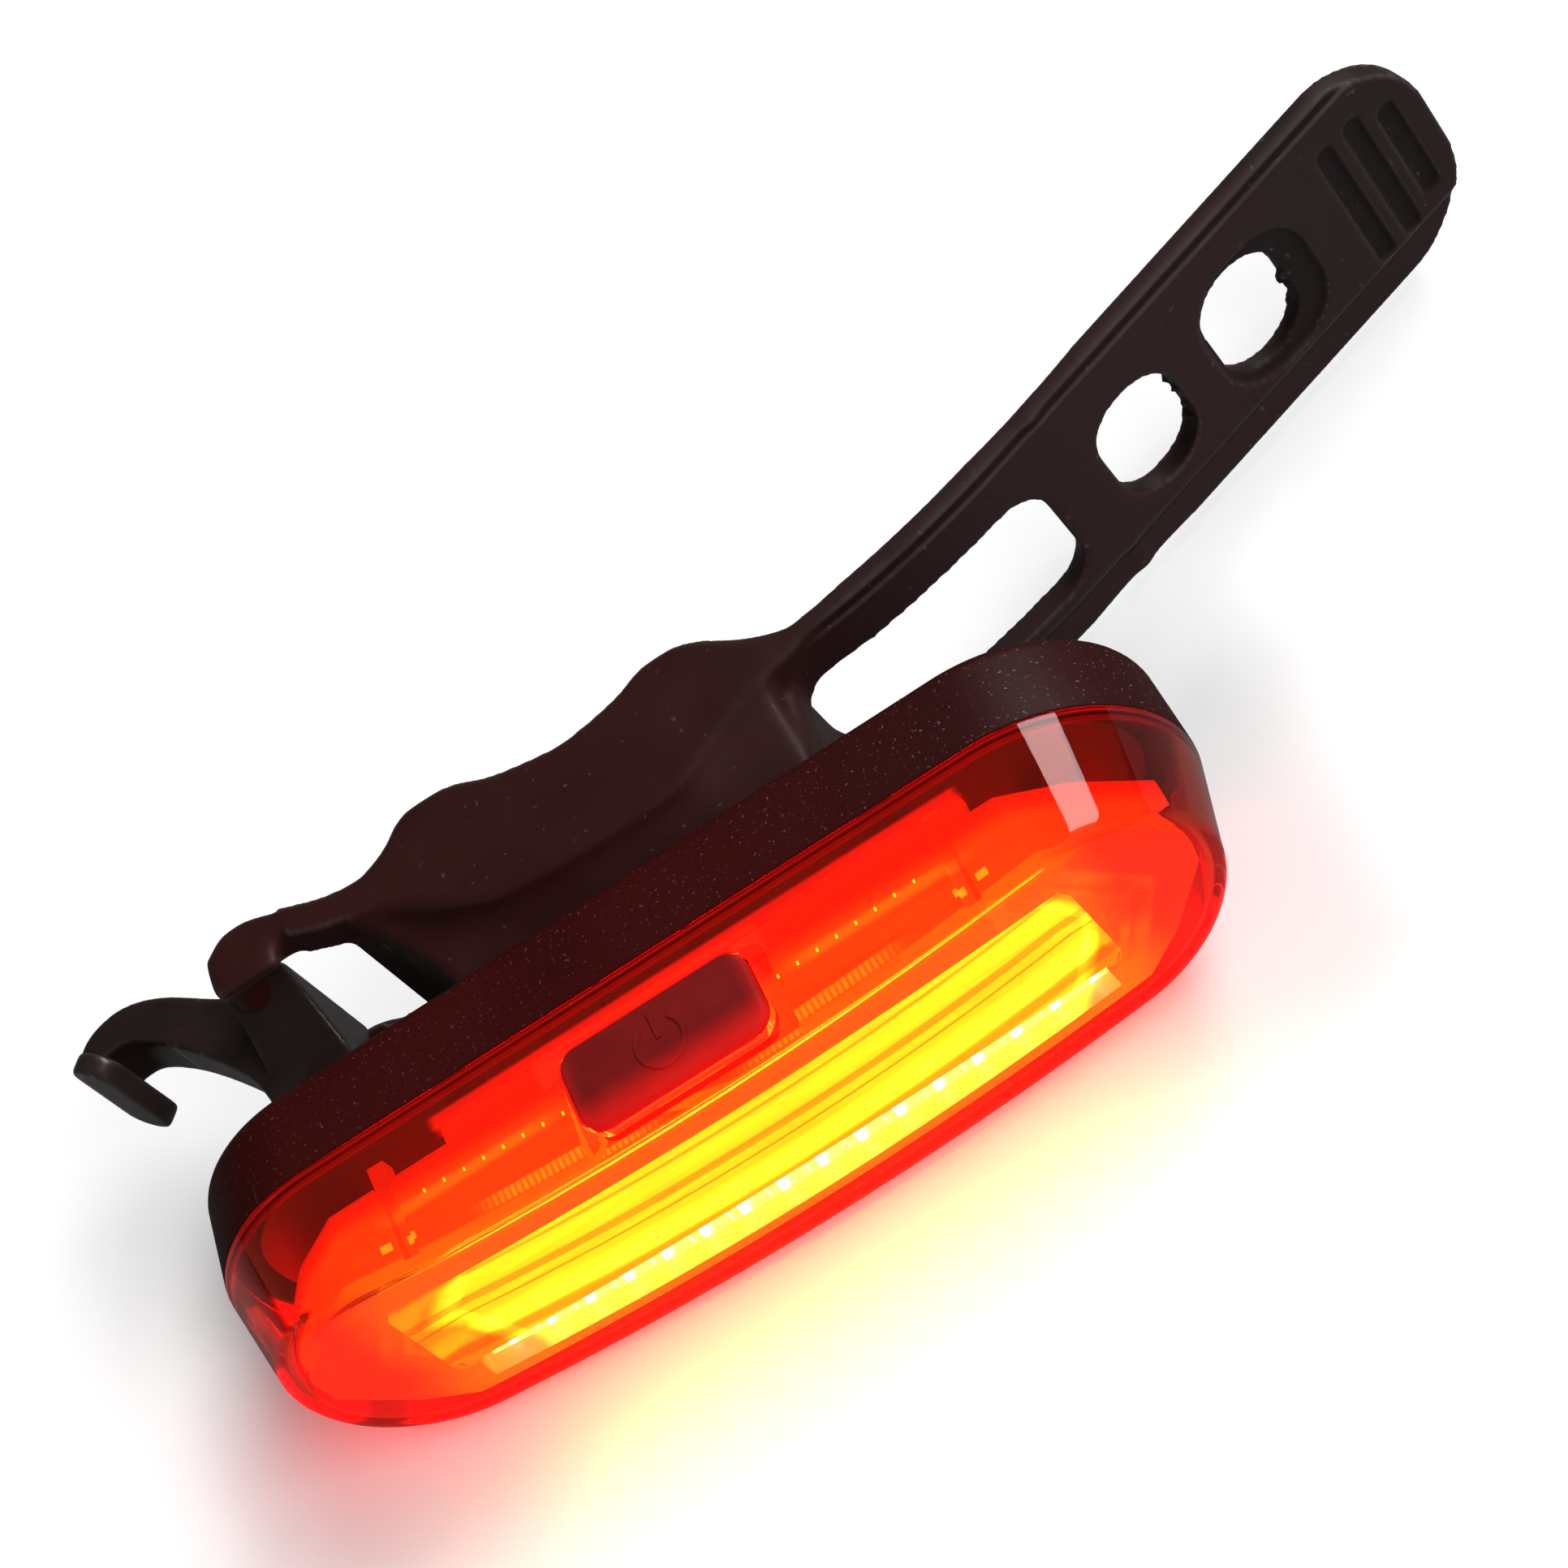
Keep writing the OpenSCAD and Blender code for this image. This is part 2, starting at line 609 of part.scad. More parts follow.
module battery() color([0.72, 0.73, 0.75])
    translate([batt_x, y_joint + batt_y0 + batt_t / 2, 0]) rotate([0, 90, 0]) linear_extrude(height = batt_l, center = true)
        rounded_plan(batt_w, batt_t, min(1.2, batt_t / 2 - 0.1));

module battery_pad() color([0.9, 0.9, 0.88])
    translate([batt_x - batt_l / 2 + pad_inset, y_joint + inner_back - pad_t, -batt_w / 2 + pad_inset])
        cube([batt_l - 2 * pad_inset, pad_t, batt_w - 2 * pad_inset]);

module battery_leads() color([0.7, 0.05, 0.05])
    for (side = [-1, 1])
        translate([batt_x + batt_l / 2, y_joint + pcb_y + pcb_t, -6 + side * 1]) {
            rise = batt_gap + batt_t / 2;
            translate([0, rise, 0]) rotate([0, 90, 0]) cylinder(r = lead_r, h = 0.8);
            translate([0.8, rise - lead_bend, 0]) rotate_extrude(angle = 90) translate([lead_bend, 0]) circle(lead_r);
            translate([0.8 + lead_bend, 0, 0]) rotate([-90, 0, 0]) cylinder(r = lead_r, h = rise - lead_bend);
        }

// Strap: saddle with a hollow for the post, a short looped arm over the hook and the long tail
horn = saddle_w / 2;
root_x = horn + 7.4;
root_y = -3.1;
hinge_room = strap_t / 2 + 0.6;
slot_x0 = horn + 4.8;
slot_r = 3;
// The loop's end bar lies in a notch of the hook
loop_x = hook_x - 2;
loop_y = 0.3;
loop_r = 1.5;
loop_end = hook_x - 3.45;
band_w = 3;

function saddle_back() = smooth([[-horn - 4.6, -0.5], [-horn - 2.3, 0.5], [-horn, hollow_d], [-horn * 0.67, hollow_d],
    [-horn * 0.38, hollow_d * 0.4], [0, 0], [horn * 0.22, 0], [horn * 0.53, hollow_d * 0.3], [horn * 0.77, hollow_d * 0.75],
    [horn * 1.06, hollow_d * 0.65], [horn + 4.6, -0.9], [root_x, root_y + strap_t / 2]], 4);
function saddle_front() = smooth([[root_x, root_y - strap_t / 2], [horn + 3.6, -5.2], [horn + 0.8, -6.4], [horn * 0.72, -8.6],
    [horn * 0.3, -9.1], [-horn * 0.3, -8.8], [-horn * 0.66, -8.2], [-horn, -6.4], [-horn - 3, -4.1], [-horn - 4.6, -3]], 4);
function neck_side() = smooth([[-horn - 7.6, -2.5], [-horn - 5.1, -4.6], [-horn - 3.6, -6.7], [-horn - 2.4, -8.85], [-horn - 1, y_back]], 4);
function arm_path() = smooth([[-horn - 2, -2.4, 4.6], [-horn - 4.6, -1.8, 2.8], [-horn - 7.6, -1.2, 2.5], [-horn - 10.6, 0, 2.4],
    [hook_x + 0.6, 1.1, 2.5], [hook_x - 1.2, 0.7, 2.6], [hook_x - 2.2, -0.9, 2.3], [hook_x - 2.4, -2.2, 1.5]], 4);

// The strap's outline from behind: a full band with a window in its short arm
module strap_plan() {
    window_x0 = hook_x + 0.6;
    window_x1 = -horn - 2.2;
    difference() {
        translate([(root_x + 5 + loop_end) / 2, 0]) rounded_plan(root_x + 5 - loop_end, strap_w, 2.4);
        translate([(window_x0 + window_x1) / 2, 0]) rounded_plan(window_x1 - window_x0, strap_w - 2 * band_w, 2);
        translate([loop_end - 1, -strap_w / 2 + band_w]) square([window_x0 - loop_end + 3, strap_w - 2 * band_w]);
    }
}

// The lugs at the loop's end slope away on their inner side
lug_lean = 38;
module lug_slope() {
    translate([loop_end - 1, loop_y - 3.2, strap_w / 2 - edge_cut]) rotate([lug_lean, 0, 0])
        translate([0, -5, -5]) cube([3.4, 5, 8]);
}

module neck() {
    upright(neck_w) polygon(concat(neck_side(),
        [[root_x - 3, y_back], [root_x - 2, -7.5], [root_x - 1.6, -4.5], [horn, -3], [-horn, -3]]));
}

module slot_cut(x0, x1) {
    translate([(x0 + x1) / 2, 40, 0]) rotate([90, 0, 0]) rounded_plate(x1 - x0, slot_w, slot_r, 80);
}

module strap_saddle() color([0.09, 0.07, 0.07]) {
    difference() {
        union() {
            intersection() {
                upright(strap_w) {
                    polygon(concat(saddle_back(), saddle_front()));
                    polygon(ribbon(arm_path()));
                }
                translate([0, 40, 0]) rotate([90, 0, 0]) linear_extrude(height = 80) strap_plan();
            }
            neck();
        }
        translate([0, y_back, 0]) strap_rail(seat);
        translate([root_x, root_y, 0]) cylinder(r = hinge_room, h = strap_w + 1, center = true);
        slot_cut(slot_x0, root_x + 8);
        for (m = [0, 1]) mirror([0, 0, m]) lug_slope();
    }
    translate([loop_x, loop_y, 0]) cylinder(r = loop_r, h = strap_w - 2 * band_w + 1, center = true);
}

// The tail lies on an arc and then runs straight: local x along the strap, y through it
bend_l = tail_bend_r * (tail_a1 - tail_a0) * PI / 180;
straight_x = root_x + tail_bend_r * (sin(tail_a1) - sin(tail_a0));
straight_y = root_y + tail_bend_r * (cos(tail_a0) - cos(tail_a1));
flex_s = 3.4;
slot_end = 0.8;
hole_s = 9;
groove_s = 29.8;
groove_pitch = 2.6;
groove_w = 1.5;
groove_l = 13;
groove_d = 0.5;

module on_tail() {
    translate([straight_x, straight_y, 0]) rotate([0, 0, tail_a1]) children();
}

// Section through the strap, [z, through]: a flat back and a raised face on the side of the light
edge_cut = 0.3;
function strap_section() = let (h = strap_w / 2, t = strap_t / 2, m = face_t - strap_t / 2)
    [[-h + edge_cut, t], [h - edge_cut, t], [h, t - edge_cut], [h, m + edge_cut], [h - edge_cut, m], [h - high_margin, m],
    [h - high_margin - face_t, -t], [low_margin + face_t - h, -t], [low_margin - h, m], [edge_cut - h, m],
    [-h, m + edge_cut], [-h, t - edge_cut]];

module straight_band(s0, s1) {
    translate([s0, 0, 0]) rotate([0, 90, 0]) linear_extrude(height = s1 - s0) mirror([1, 0]) polygon(strap_section());
}

module bend_band() {
    translate([root_x - tail_bend_r * sin(tail_a0), root_y + tail_bend_r * cos(tail_a0), 0]) rotate([0, 0, tail_a0 - 90])
        rotate_extrude(angle = tail_a1 - tail_a0, $fn = 128)
            translate([tail_bend_r, 0]) rotate(90) polygon(strap_section());
}

// A round end that turns in the hollow end of its neighbour
module flex_end() {
    cylinder(r = strap_t / 2, h = strap_w - 2 * edge_cut, center = true);
}

module strap_tail_root() color([0.09, 0.07, 0.07])
    difference() {
        union() {
            bend_band();
            on_tail() translate([-eps, 0, 0]) straight_band(0, flex_s);
            translate([root_x, root_y, 0]) flex_end();
        }
        on_tail() translate([flex_s, 0, 0]) cylinder(r = hinge_room, h = strap_w + 1, center = true);
        slot_cut(slot_x0, straight_x + slot_end);
    }

module strap_hole(s) {
    translate([s, 0, 0]) rotate([90, 0, 0]) translate([0, 0, -strap_t]) rounded_plate(hole_l, hole_w, hole_l / 2 - 0.2, 2 * strap_t);
}

// A shallow seat for the hook's bar beside the far hole
recess_d = 0.5;
recess_l = 2.6;
recess_w = 2;
module hook_recess(s) {
    translate([s + recess_l / 2 - 0.4, recess_d - strap_t / 2, 0]) rotate([90, 0, 0])
        rounded_plate(hole_l + recess_l, hole_w + recess_w, hole_l / 2 + 0.6, 1 + recess_d);
}

module strap_tail_end() color([0.09, 0.07, 0.07])
    on_tail() difference() {
        union() {
            intersection() {
                straight_band(flex_s, tail_l);
                translate([0, strap_t, 0]) rotate([90, 0, 0]) translate([tail_l - 30, 0, 0]) rounded_plate(60, strap_w, tip_r, 2 * strap_t);
            }
            translate([flex_s, 0, 0]) flex_end();
        }
        for (i = [0, 1]) strap_hole(hole_s + i * hole_pitch);
        hook_recess(hole_s + hole_pitch);
        for (i = [0:2])
            translate([groove_s + i * groove_pitch, groove_d - strap_t / 2, 0]) rotate([90, 0, 0])
                rounded_plate(groove_w, groove_l - (i == 2 ? 3 : 0), groove_w / 2 - 0.05, 1 + groove_d);
    }

// Hook: a foot in the housing's back, a prong for the strap's loop and a curled arm with a cross bar
function hook_path() = smooth([[0, -1, 7], [-0.9, 5.5, 6.9], [-2.4, 10.2, 6.6], [-7.2, hook_h - 5.5, hook_t + 1.2],
    [-hook_reach + 6, hook_h - 2.6, hook_t + 0.5], [-hook_reach + 3.5, hook_h - hook_t / 2, hook_t],
    [-hook_reach + 1.2, hook_h - 1.9, hook_t - 0.5], [-hook_reach + 0.1, hook_h - 3.2, bar_t + 0.2]], 5);
function prong_path() = [[-0.4, 8, 3.6], [0, 12.2, 2.4], [-0.2, 14.4, 1.8]];
// The cross bar hangs from the curl and leans back to the light
bar_lean = -44;
bar_x = -hook_reach + 1.2;
bar_y = hook_h - 4.6;
notch_w = 2;

module strap_hook() color([0.06, 0.05, 0.05]) {
    difference() {
        translate([hook_x, y_back, 0]) {
            difference() {
                upright(hook_w) {
                    polygon(ribbon(hook_path()));
                    polygon(ribbon(prong_path()));
                }
                translate([-20, -10, -20]) cube([40, 10, 40]);
            }
            translate([bar_x, bar_y, 0]) rotate([90, 0, bar_lean]) translate([0, 0, -bar_t / 2])
                rounded_plate(bar_h, bar_w, bar_h / 2 - 0.2, bar_t);
        }
        translate([loop_x, loop_y, 0]) cylinder(r = loop_r + seat, h = 2 * strap_w, center = true);
        translate([loop_x - notch_w / 2, loop_y, -strap_w]) cube([notch_w, hook_h, 2 * strap_w]);
    }
    translate([hook_x - foot_l / 2 + seat, y_back - foot_d + seat, -hook_w / 2 + seat])
        cube([foot_l - 2 * seat, foot_d, hook_w - 2 * seat]);
}

rear_housing();
lens();
rim_seal();
reflector();
led_strip();
led_chips();
power_button();
switch_plunger();
tact_switch();
switch_board();
switch_pins();
main_pcb();
board_screws();
control_chip();
charge_chip();
small_components();
usb_socket();
usb_cover();
battery();
battery_pad();
battery_leads();
strap_saddle();
strap_tail_root();
strap_tail_end();
strap_hook();
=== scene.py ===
from math import cos, sin, radians, pi

import bmesh
import bpy
from mathutils import Matrix, Vector
from mathutils.noise import turbulence


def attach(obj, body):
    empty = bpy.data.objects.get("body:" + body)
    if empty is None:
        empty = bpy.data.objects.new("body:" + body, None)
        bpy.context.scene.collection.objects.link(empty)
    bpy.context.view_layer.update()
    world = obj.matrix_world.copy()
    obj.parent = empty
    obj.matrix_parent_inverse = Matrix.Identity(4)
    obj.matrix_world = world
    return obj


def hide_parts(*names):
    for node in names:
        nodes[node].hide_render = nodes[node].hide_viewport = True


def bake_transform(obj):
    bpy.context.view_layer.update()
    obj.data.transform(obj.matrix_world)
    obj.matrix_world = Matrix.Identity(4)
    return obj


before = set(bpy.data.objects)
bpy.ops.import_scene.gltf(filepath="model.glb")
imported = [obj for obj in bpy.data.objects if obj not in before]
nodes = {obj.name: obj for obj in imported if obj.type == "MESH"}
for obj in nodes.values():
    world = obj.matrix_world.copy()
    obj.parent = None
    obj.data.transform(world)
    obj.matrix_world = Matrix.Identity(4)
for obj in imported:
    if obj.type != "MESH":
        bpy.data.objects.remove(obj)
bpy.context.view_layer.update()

mm = 0.001
print("frame loaded:", len(nodes), "nodes")


# One socket in a finish; sums and products on it add Math nodes
class Field:
    def __init__(self, tree, socket=None):
        self.tree = tree
        self.socket = socket

    def node(self, kind, settings=None, sockets=None, out=0):
        made = self.tree.nodes.new(kind)
        for key, value in (settings or {}).items():
            setattr(made, key, value)
        for key, value in (sockets or {}).items():
            slot = made.inputs[key]
            if isinstance(value, Field):
                self.tree.links.new(value.socket, slot)
            else:
                slot.default_value = value
        return Field(self.tree, made.outputs[out] if made.outputs else None)

    def math(self, operation, a, b=0.0):
        return self.node("ShaderNodeMath", {"operation": operation}, {0: a, 1: b})

    def __add__(self, other):
        return self.math("ADD", self, other)

    def __radd__(self, other):
        return self.math("ADD", other, self)

    def __sub__(self, other):
        return self.math("SUBTRACT", self, other)

    def __rsub__(self, other):
        return self.math("SUBTRACT", other, self)

    def __mul__(self, other):
        return self.math("MULTIPLY", self, other)

    def __rmul__(self, other):
        return self.math("MULTIPLY", other, self)

    def __truediv__(self, other):
        return self.math("DIVIDE", self, other)

    def __abs__(self):
        return self.math("ABSOLUTE", self)

    # 0 below low, 1 above high, soft between
    def step(self, low, high):
        soft = {"interpolation_type": "SMOOTHSTEP"}
        return self.node("ShaderNodeMapRange", soft, {0: self, 1: low, 2: high})

    # 1 near a place, within half a width, with a soft edge
    def near(self, place, half, soft):
        return 1 - abs(self - place).step(half, half + soft)


def newFinish(name):
    material = bpy.data.materials.new(name)
    material.use_nodes = True
    tree = material.node_tree
    tree.nodes.clear()
    return material, Field(tree)


def objectSpace(f):
    return f.node("ShaderNodeTexCoord", out="Object")


def axes(f):
    space = objectSpace(f)
    return [space.node("ShaderNodeSeparateXYZ", {}, {0: space}, out=i) for i in range(3)]


def noise(f, scale, detail=3.0, rough=0.5, vector=None):
    return f.node("ShaderNodeTexNoise", {}, {
        "Vector": vector or objectSpace(f), "Scale": scale, "Detail": detail, "Roughness": rough})


# Noise drawn out along the lamp
def streaks(f, scale, detail, rough):
    drawn = f.node("ShaderNodeMapping", {}, {"Vector": objectSpace(f), "Scale": scale})
    return noise(f, 1.0, detail, rough, drawn)


def blendColour(f, mask, first, second):
    return f.node("ShaderNodeMix", {"data_type": "RGBA"}, {0: mask, 6: first, 7: second}, out=2)


def bump(f, height, strength, distance):
    return f.node("ShaderNodeBump", {}, {"Height": height, "Strength": strength, "Distance": distance})


# A Principled surface as the material's output
def surface(material, f, sockets):
    shader = f.node("ShaderNodeBsdfPrincipled", {}, sockets)
    f.node("ShaderNodeOutputMaterial", {}, {"Surface": shader})
    return material


# Moulded black plastic: spark texture with bright grains, strengthened towards the right end by a painted
# highlight; its colour is painted red near the lens as a painted glow of the lamp's light, less red towards
# the right end
housingLook = {"dark": (0.036, 0.0012, 0.0008, 1), "pale": (0.046, 0.0026, 0.002, 1),
               "far": (0.029, 0.0042, 0.0039, 1), "farAt": (4 * mm, 34 * mm),
               "spark": (0.3, 0.26, 0.26, 1), "sparkHighlightAt": (0.0, 30 * mm), "grain": 6500,
               "grainDepth": 0.03 * mm}


def housingFinish():
    material, f = newFinish("sparkPlastic")
    k = housingLook
    x = axes(f)[0]
    cloud = noise(f, 60, 2)
    grain = noise(f, k["grain"], 2, 0.6)
    spark = noise(f, k["grain"] * 0.62, 1, 0.5).step(0.68, 0.74)
    # Painted red glow of the lamp: redder colours near the lens, fading to less red towards the right end
    near = blendColour(f, cloud.step(0.3, 0.7), k["dark"], k["pale"])
    base = blendColour(f, x.step(*k["farAt"]), near, k["far"])
    # Bright grains of the spark texture, with more of them towards the right end as a painted highlight
    colour = blendColour(f, spark * (0.16 + 0.2 * x.step(*k["sparkHighlightAt"])), base, k["spark"])
    return surface(material, f, {
        "Base Color": colour,
        "Roughness": 0.44 + 0.16 * grain - 0.14 * spark,
        "Specular IOR Level": 0.15,
        "Normal": bump(f, grain, 0.55, k["grainDepth"])})


# Satin silicone: brown black, painted redder near the lamp as a painted glow of its red light, with fine dust
# and a faint mould grain, painted highlights on its edges and painted shade in its recesses and steps
rubberLook = {"dark": (0.027, 0.0042, 0.0036, 1), "pale": (0.037, 0.0072, 0.0062, 1),
              "far": (0.029, 0.0122, 0.0118, 1), "farAt": (6 * mm, 30 * mm),
              "tip": (0.021, 0.0098, 0.0098, 1), "tipAt": (45 * mm, 70 * mm), "tailAt": (18 * mm, 22 * mm),
              "edge": (0.085, 0.066, 0.062, 1), "dust": (0.1, 0.082, 0.078, 1),
              "deep": (0.007, 0.004, 0.004, 1),
              "tailStart": (35.496 * mm, 0.791 * mm), "tailTurn": 19.5,
              "parting": (27.7 * mm, 1.2 * mm, 0.4 * mm),
              "deepThrough": (-0.2 * mm, 0.42 * mm, 0.28 * mm),
              "deepAcross": (1.2 * mm, 7.2 * mm, 0.6 * mm),
              "deepAlong": (5 * mm, 6 * mm), "grainDepth": 0.04 * mm, "lineSoft": 0.12 * mm,
              "highlightLines": ((9.12 * mm, 0.08 * mm), (9.9 * mm, 0.1 * mm), (-6.72 * mm, 0.08 * mm)),
              "shaded": ((9.5 * mm, 0.12 * mm), (-7.05 * mm, 0.1 * mm))}


# Fine lines along the strap at given heights
def stripes(z, places):
    lines = [z.near(place, half, rubberLook["lineSoft"]) for place, half in places]
    return sum(lines[1:], lines[0])


def rubberFinish():
    material, f = newFinish("satinSilicone")
    k = rubberLook
    x, y, z = axes(f)
    cloud = noise(f, 95, 4, 0.6)
    grain = noise(f, 3800, 2, 0.5)
    speck = noise(f, 1500, 1, 0.5).step(0.735, 0.77)
    # Painted red glow of the lamp: redder colours near the lamp, less red further along the strap, darker
    # towards the tip
    near = blendColour(f, cloud.step(0.3, 0.72), k["dark"], k["pale"])
    base = blendColour(f, x.step(*k["farAt"]), near, k["far"])
    base = blendColour(f, x.step(*k["tipAt"]), base, k["tip"])
    # Painted highlight on convex edges, found by pointiness and patchy, left out at the parting cut
    pointed = f.node("ShaderNodeNewGeometry", out="Pointiness").step(0.51, 0.55)
    edge = pointed * (1 - x.near(*k["parting"]))
    base = blendColour(f, edge * (0.25 + 0.5 * cloud), base, k["edge"])
    # Painted shade: darker in the recessed face and grooves of the tail
    turn = radians(k["tailTurn"])
    right, up = x - k["tailStart"][0], y - k["tailStart"][1]
    along = right * cos(turn) + up * sin(turn)
    through = up * cos(turn) - right * sin(turn)
    deep = through.near(*k["deepThrough"]) * z.near(*k["deepAcross"]) * along.step(*k["deepAlong"])
    base = blendColour(f, deep * 0.65, base, k["deep"])
    # On the tail's front face: painted shade lines in its steps and painted highlight lines along its edges,
    # patchy
    facing = f.node("ShaderNodeTexCoord", out="Normal")
    facing = 1 - f.node("ShaderNodeSeparateXYZ", {}, {0: facing}, out=1).step(-0.8, -0.3)
    tail = facing * x.step(*k["tailAt"])
    base = blendColour(f, tail * stripes(z, k["shaded"]) * 0.7, base, k["deep"])
    base = blendColour(f, tail * stripes(z, k["highlightLines"]) * (0.1 + 0.5 * cloud), base, k["edge"])
    colour = blendColour(f, speck * 0.4, base, k["dust"])
    return surface(material, f, {
        "Base Color": colour,
        "Roughness": 0.46 + 0.14 * cloud + 0.08 * speck - 0.08 * edge,
        "Specular IOR Level": 0.25,
        "Sheen Weight": 0.04,
        "Sheen Roughness": 0.4,
        "Normal": bump(f, 0.6 * grain + 0.4 * cloud, 0.25, k["grainDepth"])})


# Harder, smoother plastic of the hook, with a painted highlight on its edges
hookLook = {"dark": (0.017, 0.0088, 0.0076, 1), "pale": (0.027, 0.0148, 0.013, 1),
            "edge": (0.12, 0.1, 0.095, 1), "scratchDepth": 0.05 * mm}


def hookFinish():
    material, f = newFinish("nylonEdgeHighlight")
    cloud = noise(f, 220, 4, 0.6)
    scratch = noise(f, 900, 3, 0.6)
    # Painted highlight on convex edges, found by pointiness
    edge = f.node("ShaderNodeNewGeometry", out="Pointiness").step(0.5, 0.58)
    base = blendColour(f, cloud.step(0.3, 0.7), hookLook["dark"], hookLook["pale"])
    colour = blendColour(f, edge * 0.5, base, hookLook["edge"])
    return surface(material, f, {
        "Base Color": colour,
        "Roughness": 0.24 + 0.14 * scratch - 0.06 * edge,
        "Specular IOR Level": 0.65,
        "Normal": bump(f, scratch, 0.12, hookLook["scratchDepth"])})


# Clear red lens with a painted glow in its emission, for the light its plastic scatters along the joint,
# round the button and at its lower edge and ends, and a strong red glow on its underside that lights the
# floor
lensLook = {"tint": (0.95, 0.12, 0.05, 1), "shade": (0.93, 0.105, 0.042, 1), "rough": 0.012,
            "scuffDepth": 0.05 * mm,
            "glow": (1.0, 0.008, 0.003), "base": 0.022, "joint": 0.18, "lower": 0.8, "end": 0.32,
            "band": 0.8,
            "button": 0.85, "under": 4.5,
            "jointAt": (-20.02 * mm, 0.12 * mm, 0.16 * mm), "jointRise": (0.0, 4 * mm),
            "lowerRise": (-9.2 * mm, -7.4 * mm), "lowerDeep": (-29 * mm, -22 * mm),
            "endFrom": (26 * mm, 31 * mm), "endDeep": (-29.2 * mm, -26.2 * mm),
            "bandAt": (-22.05 * mm, 0.3 * mm, 0.35 * mm), "bandRise": (4 * mm, 7 * mm),
            "bandRun": (3.8 * mm, 19.6 * mm, 0.8 * mm),
            "leftFrom": (-36 * mm, -33.5 * mm), "leftRise": (-5 * mm, 0.0),
            "underRise": (-10.5 * mm, -9.5 * mm),
            "rimHalf": (7.0 * mm, 3.0 * mm), "rimAt": -25.9 * mm,
            "rimGlow": (0.05 * mm, 0.2 * mm, 0.6 * mm),
            "pocketAt": (-23.2 * mm, 0.9 * mm, 0.4 * mm), "pocketRun": (0.0, 8.4 * mm, 0.4 * mm),
            "topRise": (7 * mm, 8 * mm)}


def lensFinish():
    material, f = newFinish("clearRedPlastic")
    k = lensLook
    x, y, z = axes(f)
    haze = noise(f, 130, 3)
    scuff = noise(f, 700, 3, 0.6)
    joint = y.near(*k["jointAt"]) * z.step(*k["jointRise"])
    lower = (1 - z.step(*k["lowerRise"])) * (1 - y.step(*k["lowerDeep"]))
    end = abs(x).step(*k["endFrom"]) * (1 - y.step(*k["endDeep"]))
    band = y.near(*k["bandAt"]) * z.step(*k["bandRise"]) * x.near(*k["bandRun"])
    leftEnd = (1 - x.step(*k["leftFrom"])) * (1 - z.step(*k["leftRise"]))
    under = f.math("MAXIMUM", 1 - z.step(*k["underRise"]), leftEnd)
    rim = f.math("MAXIMUM", abs(x) - k["rimHalf"][0], abs(y - k["rimAt"]) - k["rimHalf"][1])
    pocket = y.near(*k["pocketAt"]) * x.near(*k["pocketRun"])
    rim = f.math("MAXIMUM", rim.near(*k["rimGlow"]), pocket) * z.step(*k["topRise"])
    # Painted glow: a band on the top, the joint, the lower edge, the ends, and round the button hole and its
    # pocket
    paintedGlow = k["base"] + k["band"] * band * (0.7 + 0.6 * haze) + k["joint"] * joint
    paintedGlow = paintedGlow + k["lower"] * lower + k["end"] * end * (0.6 + 0.8 * haze) + k["button"] * rim
    red, green, blue = (paintedGlow * share for share in k["glow"])
    # Painted red glow on the underside and the left end, strong enough to light the floor
    red = red + k["under"] * under
    return surface(material, f, {
        "Base Color": blendColour(f, haze.step(0.35, 0.75), k["tint"], k["shade"]),
        "Roughness": k["rough"] + 0.02 * scuff.step(0.6, 0.8),
        "IOR": 1.46,
        "Transmission Weight": 1.0,
        "Emission Color": f.node("ShaderNodeCombineColor", {}, {0: red, 1: green, 2: blue}),
        "Emission Strength": 1.0,
        "Normal": bump(f, scuff, 0.02, k["scuffDepth"])})


# Soft red rubber of the button, with a painted glow of the lamp's light through it, strongest at its front
# edge and ends
buttonLook = {"dark": (0.15, 0.005, 0.005, 1), "pale": (0.19, 0.0075, 0.0065, 1),
              "dim": (0.03, 0.0006, 0.0008, 1), "glow": (0.75, 0.004, 0.002, 1), "grainDepth": 0.03 * mm,
              "litAt": (-29.2 * mm, -26.2 * mm), "endsAt": (5.8 * mm, 7.2 * mm)}


def buttonFinish():
    material, f = newFinish("litRubber")
    k = buttonLook
    x, y = axes(f)[:2]
    cloud = noise(f, 400, 3)
    grain = noise(f, 5000, 2)
    lit = 1 - y.step(*k["litAt"])
    ends = abs(x).step(*k["endsAt"])
    glow = blendColour(f, lit * 0.75 + ends * 0.25, k["dim"], k["glow"])
    return surface(material, f, {
        "Base Color": blendColour(f, cloud.step(0.3, 0.7), k["dark"], k["pale"]),
        "Roughness": 0.6 + 0.15 * grain,
        "Specular IOR Level": 0.16,
        "Emission Color": glow,
        "Emission Strength": 1.0,
        "Normal": bump(f, grain, 0.2, k["grainDepth"])})


# Light inside the lamp, given as the red, green and blue that reach the eye through the lens
def glowColour(f, red, green, blue):
    tint = lensLook["tint"]
    return f.node("ShaderNodeCombineColor", {}, {0: red / tint[0], 1: green / tint[1], 2: blue / tint[2]})


